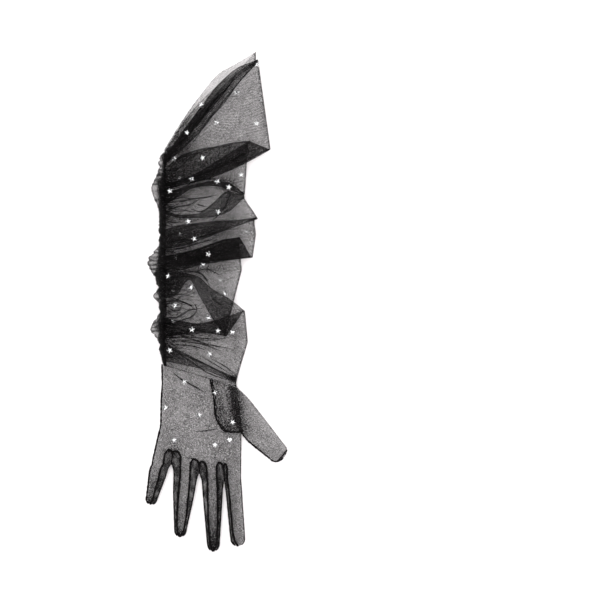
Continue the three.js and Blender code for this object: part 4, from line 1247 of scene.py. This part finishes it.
def net_material(name, props, colour, grain_share):
    """Sheer net: its cover follows the cloth's own layers, broken up by a hexagon mesh of threads.

    The mesh is the sum of three cosines at sixty degrees on the cloth's own map, whose low
    values draw the threads round each cell. What shines through is the light that one layer
    lets through, to the power of the layers, streaks and grain.
    """
    finish = {"Base Color": (*colour, 1), "Roughness": 0.75, "Specular IOR Level": 0.06,
              "Sheen Weight": 0.0}
    material, nodes, links, shader = new_material(name, finish)

    def math_node(operation, *inputs):
        """A math node's result from values or other nodes' results."""
        node = nodes.new("ShaderNodeMath")
        node.operation = operation
        for socket, value in zip(node.inputs, inputs):
            if hasattr(value, "links"):
                links.new(value, socket)
            else:
                socket.default_value = value
        return node.outputs[0]

    def attribute(label):
        """One of the mesh's own values."""
        node = nodes.new("ShaderNodeAttribute")
        node.attribute_name = label
        return node.outputs["Fac"]

    def streak_lines(across, along, detail, distortion, width, layers):
        """Lines where a stretched noise on the cloth's map crosses its middle."""
        vector = nodes.new("ShaderNodeCombineXYZ")
        links.new(math_node("MULTIPLY", split.outputs[0], across), vector.inputs[0])
        links.new(math_node("MULTIPLY", split.outputs[1], along), vector.inputs[1])
        noise = add_texture(nodes, links, "ShaderNodeTexNoise", vector.outputs[0], Scale=1.0,
                            Detail=detail, Distortion=distortion)
        away = math_node("ABSOLUTE", math_node("SUBTRACT", noise.outputs["Fac"], 0.5))
        return math_node("MULTIPLY", add_fade(nodes, links, away, width, 0.0), layers)

    layers = attribute("cloth_cover")
    place = nodes.new("ShaderNodeUVMap")
    place.uv_map = "cloth"
    split = nodes.new("ShaderNodeSeparateXYZ")
    links.new(place.outputs[0], split.inputs[0])
    both = math_node("ADD", streak_lines(*FINE_STREAKS), streak_lines(*BROAD_STREAKS))
    streaks = math_node("MULTIPLY", both, attribute("cloth_gather"))

    speckle = add_texture(nodes, links, "ShaderNodeTexNoise", object_place(nodes), Scale=GRAIN_SCALE,
                          Detail=2)
    depth = math_node("MULTIPLY_ADD", math_node("MINIMUM", layers, 3.5), 0.7, 0.3)
    swing = math_node("MULTIPLY", depth, props.grain * grain_share)
    away = math_node("SUBTRACT", speckle.outputs["Fac"], 0.5)
    grain = math_node("MAXIMUM", math_node("MULTIPLY_ADD", away, swing, 1.0), 0.12)
    amount = math_node("MULTIPLY", math_node("ADD", layers, streaks), grain)
    clear = math_node("POWER", 1 - props.coverage, amount)
    cover = math_node("SUBTRACT", 1.0, clear)

    turn = 2 * math.pi / props.cell
    waves = []
    for degrees in (0, 60, 120):
        a = math_node("MULTIPLY", split.outputs[0], turn * math.cos(math.radians(degrees)))
        b = math_node("MULTIPLY", split.outputs[1], turn * math.sin(math.radians(degrees)))
        waves.append(math_node("COSINE", math_node("ADD", a, b)))
    total = math_node("ADD", math_node("ADD", waves[0], waves[1]), waves[2])
    thread = add_fade(nodes, links, total, -0.35, -1.05)
    pattern = math_node("MULTIPLY", math_node("SUBTRACT", thread, 0.4), math_node("MULTIPLY", cover, clear))
    relief = math_node("MULTIPLY", pattern, 4 * props.contrast)
    alpha = nodes.new("ShaderNodeClamp")
    links.new(math_node("ADD", cover, relief), alpha.inputs["Value"])
    links.new(alpha.outputs[0], shader.inputs["Alpha"])
    add_bump(nodes, links, shader, thread, 0.4, 0.0002)
    return material


def add_ramp(nodes, links, shader, factor, low, high):
    """Base colour from a factor: low and high are each a place and a colour."""
    ramp = nodes.new("ShaderNodeValToRGB")
    for element, (position, colour) in zip(ramp.color_ramp.elements, (low, high)):
        element.position = position
        element.color = (*colour, 1)
    links.new(factor, ramp.inputs["Fac"])
    links.new(ramp.outputs["Color"], shader.inputs["Base Color"])


def thread_material(props):
    """Sewing thread and rolled cloth edges: near black, matt, with a fine twist."""
    finish = {"Roughness": 0.8, "Specular IOR Level": 0.06}
    material, nodes, links, shader = new_material("seam_thread", finish)
    noise = add_texture(nodes, links, "ShaderNodeTexNoise", object_place(nodes), Scale=TWIST_SCALE)
    twist = noise.outputs["Fac"]
    dark, light = ([share * value for value in props.thread_colour] for share in (0.5, 1.6))
    add_ramp(nodes, links, shader, twist, (0.0, dark), (1.0, light))
    add_bump(nodes, links, shader, twist, 0.5, 0.0003)
    return material


def glitter_material(props):
    """Glitter film: silver flakes, each tilted its own way by a cell pattern, with painted glints: the same
    cells make each flake's colour near black or bright silver, as if it turned the light away or caught it.
    """
    material, nodes, links, shader = new_material("star_glitter", {"Metallic": 0.15, "Roughness": 0.3})
    flakes = add_texture(nodes, links, "ShaderNodeTexVoronoi", object_place(nodes), Scale=FLAKE_SCALE)
    grey = nodes.new("ShaderNodeRGBToBW")
    links.new(flakes.outputs["Color"], grey.inputs[0])
    # Painted glints: base colour near black for some flakes and bright silver for others, standing in for
    # flakes that catch the light or turn it away.
    add_ramp(nodes, links, shader, grey.outputs[0], (0.3, (0.03, 0.03, 0.033)), (0.42, props.painted_glint_colour))
    add_bump(nodes, links, shader, grey.outputs[0], 0.6, 0.0004)
    return material


def floor_material(props):
    """Pale matt paper."""
    finish = {"Base Color": (*props.floor_colour, 1), "Roughness": 0.9}
    return new_material("floor_paper", finish)[0]


def material_of(name, maker):
    """The material of that name, made the first time that it is asked for."""
    return bpy.data.materials.get(name) or maker()


def net(props):
    """Plain sheer net."""
    return material_of("sheer_net", lambda: net_material("sheer_net", props, props.net_colour, 1.0))


def dense_net(props):
    """Darker net of the gathered seam, the wrinkles and the strips between the fingers."""
    return material_of("dense_net", lambda: net_material("dense_net", props, props.thread_colour, 0.4))


class GloveSettings(bpy.types.PropertyGroup):
    """Finishes of the net and the sequins"""
    coverage: FloatProperty(
        name="Coverage", description="Share of light that one layer of net stops",
        default=0.363, min=0.05, max=0.9, subtype="FACTOR")
    cell: FloatProperty(
        name="Cell", description="Width of one cell of the net in millimetres",
        default=1.15, min=0.3, max=5.0, subtype="DISTANCE")
    contrast: FloatProperty(
        name="Thread contrast", description="How far the threads stand out from the cells",
        default=0.5, min=0.0, max=1.0, subtype="FACTOR")
    grain: FloatProperty(
        name="Grain", description="How unevenly the net's threads bunch",
        default=4.6, min=0, max=12, subtype="FACTOR")
    net_colour: FloatVectorProperty(
        name="Net colour", description="Colour of the net's threads", subtype="COLOR",
        default=(0.0045, 0.0038, 0.0041), min=0, max=1)
    thread_colour: FloatVectorProperty(
        name="Thread colour", description="Colour of seams and gathered net", subtype="COLOR",
        default=(0.002, 0.0017, 0.0018), min=0, max=1)
    # Painted glint: colour of the flakes that are painted as catching the light.
    painted_glint_colour: FloatVectorProperty(
        name="Glitter colour", description="Colour of the brightest flakes", subtype="COLOR",
        default=(0.85, 0.85, 0.86), min=0, max=1)
    seam_radius: FloatProperty(
        name="Seam radius", description="Radius of the sewn seam lines in millimetres",
        default=0.62, min=0.1, max=2.0, subtype="DISTANCE")


class StageSettings(bpy.types.PropertyGroup):
    """Floor, light and camera"""
    floor_colour: FloatVectorProperty(
        name="Floor colour", description="Colour of the pale floor", subtype="COLOR",
        default=(0.93, 0.895, 0.902), min=0, max=1)
    world_strength: FloatProperty(
        name="Sky strength", description="Strength of the even white light",
        default=1.3, subtype="FACTOR")
    key_power: FloatProperty(
        name="Key power", description="Power of the large soft light overhead", unit="POWER",
        default=32.0)
    camera_height: FloatProperty(
        name="Camera height", description="Height of the camera above the floor", unit="LENGTH",
        default=3.0)
    view_width: FloatProperty(
        name="View width", description="Width of floor that the picture shows", unit="LENGTH",
        default=0.63)
    clear_layers: IntProperty(
        name="Clear layers", description="How many layers of net a ray may pass",
        default=48, subtype="UNSIGNED")


def sew(name, lines, props):
    """Thin lumpy tubes along lines, each with its share of the radius, as one piece of thread.

    No line runs lower than one and a half radii, so that none sinks into the floor.
    """
    tubes = []
    for k, (path, share) in enumerate(lines):
        radius = props.seam_radius * share
        path = np.column_stack([path[:, :2], np.maximum(path[:, 2], 1.5 * radius)])
        tubes.append(tube_along(path, radius, seed=7.3 * k))
    material = material_of("seam_thread", lambda: thread_material(props))
    piece = make_mesh(name, *joined(tubes), material)
    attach(piece, "root")


class GLOVE_OT_sleeve(bpy.types.Operator):
    """Makes the folded sleeve of sheer net"""
    bl_idname = "glove.sleeve"
    bl_label = "Sleeve"

    def execute(self, context):
        props = context.scene.glove
        points, density, gather = sleeve_surface()
        faces = grid_faces(*density.shape)
        uv = cloth_lengths(points)
        piece = make_mesh("sleeve_net", points.reshape(-1, 3), faces, net(props), density, uv, gather)
        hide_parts("sleeve")
        return {"FINISHED"}


class GLOVE_OT_hand(bpy.types.Operator):
    """Makes the hand, the strips between its fingers and their sewn seams"""
    bl_idname = "glove.hand"
    bl_label = "Hand"

    def execute(self, context):
        props = context.scene.glove
        store, seams = hand_surfaces()
        for name, parts in store.items():
            points, faces, density, uv = joined(parts)
            material = net(props) if name == "hand" else dense_net(props)
            piece = make_mesh(f"{name}_net", points, faces, material, density, uv)
            weld(piece)
            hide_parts(name)
        sew("finger_seams", seams, props)
        return {"FINISHED"}


class GLOVE_OT_thumb(bpy.types.Operator):
    """Makes the thumb with its inset piece and seams"""
    bl_idname = "glove.thumb"
    bl_label = "Thumb"

    def execute(self, context):
        props = context.scene.glove
        parts, seams = thumb_surface()
        points, faces, density, uv = joined(parts)
        piece = make_mesh("thumb_net", points, faces, net(props), density, uv)
        weld(piece)
        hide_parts("thumb")
        sew("thumb_seams", seams, props)
        return {"FINISHED"}


class GLOVE_OT_gathered_seam(bpy.types.Operator):
    """Makes the bunched side seam and its puffs"""
    bl_idname = "glove.gathered_seam"
    bl_label = "Gathered seam"

    def execute(self, context):
        props = context.scene.glove
        points, density = seam_surface()
        faces = grid_faces(*density.shape, wrapped=True)[:, ::-1]
        uv = cloth_lengths(points)
        piece = make_mesh("gathered_seam_net", points.reshape(-1, 3), faces, dense_net(props), density, uv)
        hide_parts("gathered_seam")
        return {"FINISHED"}


class GLOVE_OT_wrinkles(bpy.types.Operator):
    """Makes the pinched wrinkles of the sleeve as thin tapered tubes of bunched net"""
    bl_idname = "glove.wrinkles"
    bl_label = "Wrinkles"

    def execute(self, context):
        props = context.scene.glove
        clouds = [piece_points(name) for name in ("sleeve_net", "hand_net")]
        random = np.random.default_rng(5)
        flats = [rounded_line(line, WRINKLE_STEP) for line in WRINKLES]
        widths = [random.uniform(*WRINKLE_RADII) for _ in flats]
        short = [rounded_line(line, WRINKLE_STEP) for line in seam_wrinkles()]
        widths.extend(random.uniform(*BUNCH_RADII) for _ in short)
        flats.extend(short)
        every = np.concatenate(flats)
        height = top_of(every[:, 0], every[:, 1], clouds)
        tubes, start = [], 0
        for k, (flat, width) in enumerate(zip(flats, widths)):
            line = np.column_stack([flat, height[start:start + len(flat)]])
            start += len(flat)
            if line[:, 2].min() <= 0 or len(line) < 3:
                continue
            line[1:-1, 2] = (line[:-2, 2] + line[1:-1, 2] + line[2:, 2]) / 3
            tubes.append(tube_along(line, width, seed=3.1 * k, taper=0.6))
        points, faces = joined(tubes)
        cover = WRINKLE_NET + noises(points[:, 0], points[:, 1], WRINKLE_MOTTLE)
        piece = make_mesh("wrinkles", points, faces, dense_net(props), cover, points[:, :2])
        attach(piece, "root")
        return {"FINISHED"}


class GLOVE_OT_stars(bpy.types.Operator):
    """Makes the star sequins where their solids lie"""
    bl_idname = "glove.stars"
    bl_label = "Stars"

    def execute(self, context):
        props = context.scene.glove
        names = sorted(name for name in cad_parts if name.startswith("star_"))
        random = np.random.default_rng(77)
        solids = (np.array([np.mean(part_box(name), axis=0) for name in names]) - SHIFT) / MM
        count = len(solids)
        centres = np.concatenate([solids[:, :2], [ROUND_SEQUIN], STARS_UNDER])
        clouds = [piece_points(name) for name in ("sleeve_net", "hand_net", "thumb_net", "gathered_seam_net")]
        height = top_of(centres[:, 0], centres[:, 1], clouds) + 0.4
        height[:count] = np.maximum(height[:count], solids[:, 2])
        height[count + 1:] -= LAYER_PITCH + 1.0
        sizes = np.where(np.arange(len(height)) < count, STAR_WIDTH, STAR_UNDER_WIDTH)
        waists = np.full(len(height), STAR_WAIST)
        sizes[count], waists[count] = ROUND_WIDTH, 1.0
        stars = []
        for centre, size, waist in zip(np.column_stack([centres, height]), sizes, waists):
            shape, faces = star_shape(size, random.uniform(0.35, 0.7), waist)
            turn = random.uniform(0, 2 * np.pi)
            lean_x, lean_y = random.normal(0, 0.14, 2) * (waist < 1)
            c, s = math.cos(turn), math.sin(turn)
            spin = np.array([[c, -s, 0], [s, c, 0], [0, 0, 1]])
            tilt = np.array([[1, 0, lean_x], [0, 1, lean_y], [-lean_x, -lean_y, 1]])
            stars.append((shape @ spin.T @ tilt.T + centre + [0, 0, 0.3], faces))
        material = material_of("star_glitter", lambda: glitter_material(props))
        piece = make_mesh("star_sequins", *joined(stars), material)
        piece.data.polygons.foreach_set("use_smooth", np.zeros(len(piece.data.polygons), dtype=bool))
        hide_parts(*names)
        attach(piece, "root")
        return {"FINISHED"}


class GLOVE_OT_cloth(bpy.types.Operator):
    """Parents each piece of cloth named in CUTS to the root body"""
    bl_idname = "glove.cloth"
    bl_label = "Cloth facts"

    def execute(self, context):
        for name, facts in CUTS.items():
            piece = bpy.data.objects[name]
            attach(piece, "root")
        return {"FINISHED"}


class GLOVE_OT_stage(bpy.types.Operator):
    """Lays the pale floor and sets the soft light and the camera"""
    bl_idname = "glove.stage"
    bl_label = "Stage"

    def execute(self, context):
        scene = context.scene
        props = scene.glove_stage
        mesh = bpy.data.meshes.new("floor")
        corners = [(x * FLOOR_HALF, y * FLOOR_HALF, 0) for x, y in ((-1, -1), (1, -1), (1, 1), (-1, 1))]
        mesh.from_pydata(corners, [], [(0, 1, 2, 3)])
        mesh.materials.append(floor_material(props))
        floor = bpy.data.objects.new("floor", mesh)
        scene.collection.objects.link(floor)

        world = bpy.data.worlds.new("soft_sky")
        world.use_nodes = True
        sky = world.node_tree.nodes["Background"]
        sky.inputs["Color"].default_value = (1, 1, 1, 1)
        sky.inputs["Strength"].default_value = props.world_strength
        scene.world = world
        light = bpy.data.lights.new("key_light", "AREA")
        light.shape = "DISK"
        light.size = KEY_WIDTH
        light.energy = props.key_power
        key = bpy.data.objects.new("key_light", light)
        key.location = KEY_PLACE
        key.rotation_euler = KEY_LEAN
        scene.collection.objects.link(key)

        camera = bpy.data.cameras.new("camera")
        camera.sensor_width = 36
        camera.lens = camera.sensor_width * props.camera_height / props.view_width
        camera.clip_end = 20
        view = bpy.data.objects.new("camera", camera)
        middle = SHIFT + np.array(PICTURE_MIDDLE) * MM
        view.location = (middle[0], middle[1], props.camera_height)
        scene.collection.objects.link(view)
        scene.camera = view
        scene.cycles.transparent_max_bounces = props.clear_layers
        scene.view_settings.view_transform = "Standard"
        return {"FINISHED"}


STEPS = (GLOVE_OT_sleeve, GLOVE_OT_hand, GLOVE_OT_thumb, GLOVE_OT_gathered_seam, GLOVE_OT_wrinkles,
         GLOVE_OT_stars, GLOVE_OT_cloth, GLOVE_OT_stage)


class GLOVE_PT_panel(bpy.types.Panel):
    """Lists the steps that make the glove"""
    bl_idname = "GLOVE_PT_panel"
    bl_label = "Ruched tulle glove"
    bl_space_type = "VIEW_3D"
    bl_region_type = "UI"
    bl_category = "Glove"

    def draw(self, context):
        layout = self.layout
        for step in STEPS:
            layout.operator(step.bl_idname)
        for group in (context.scene.glove, context.scene.glove_stage):
            column = layout.column()
            for name in group.__annotations__:
                column.prop(group, name)


CLASSES = (GloveSettings, StageSettings, *STEPS, GLOVE_PT_panel)


def register():
    """Adds the settings, steps and panel."""
    for item in CLASSES:
        bpy.utils.register_class(item)
    bpy.types.Scene.glove = PointerProperty(type=GloveSettings)
    bpy.types.Scene.glove_stage = PointerProperty(type=StageSettings)


def unregister():
    """Takes the settings, steps and panel away again."""
    del bpy.types.Scene.glove_stage
    del bpy.types.Scene.glove
    for item in reversed(CLASSES):
        bpy.utils.unregister_class(item)


def main():
    """Makes every piece and the stage."""
    register()
    bpy.ops.glove.sleeve()
    bpy.ops.glove.hand()
    bpy.ops.glove.thumb()
    bpy.ops.glove.gathered_seam()
    bpy.ops.glove.wrinkles()
    bpy.ops.glove.stars()
    bpy.ops.glove.cloth()
    bpy.ops.glove.stage()


if __name__ == "__main__":
    main()
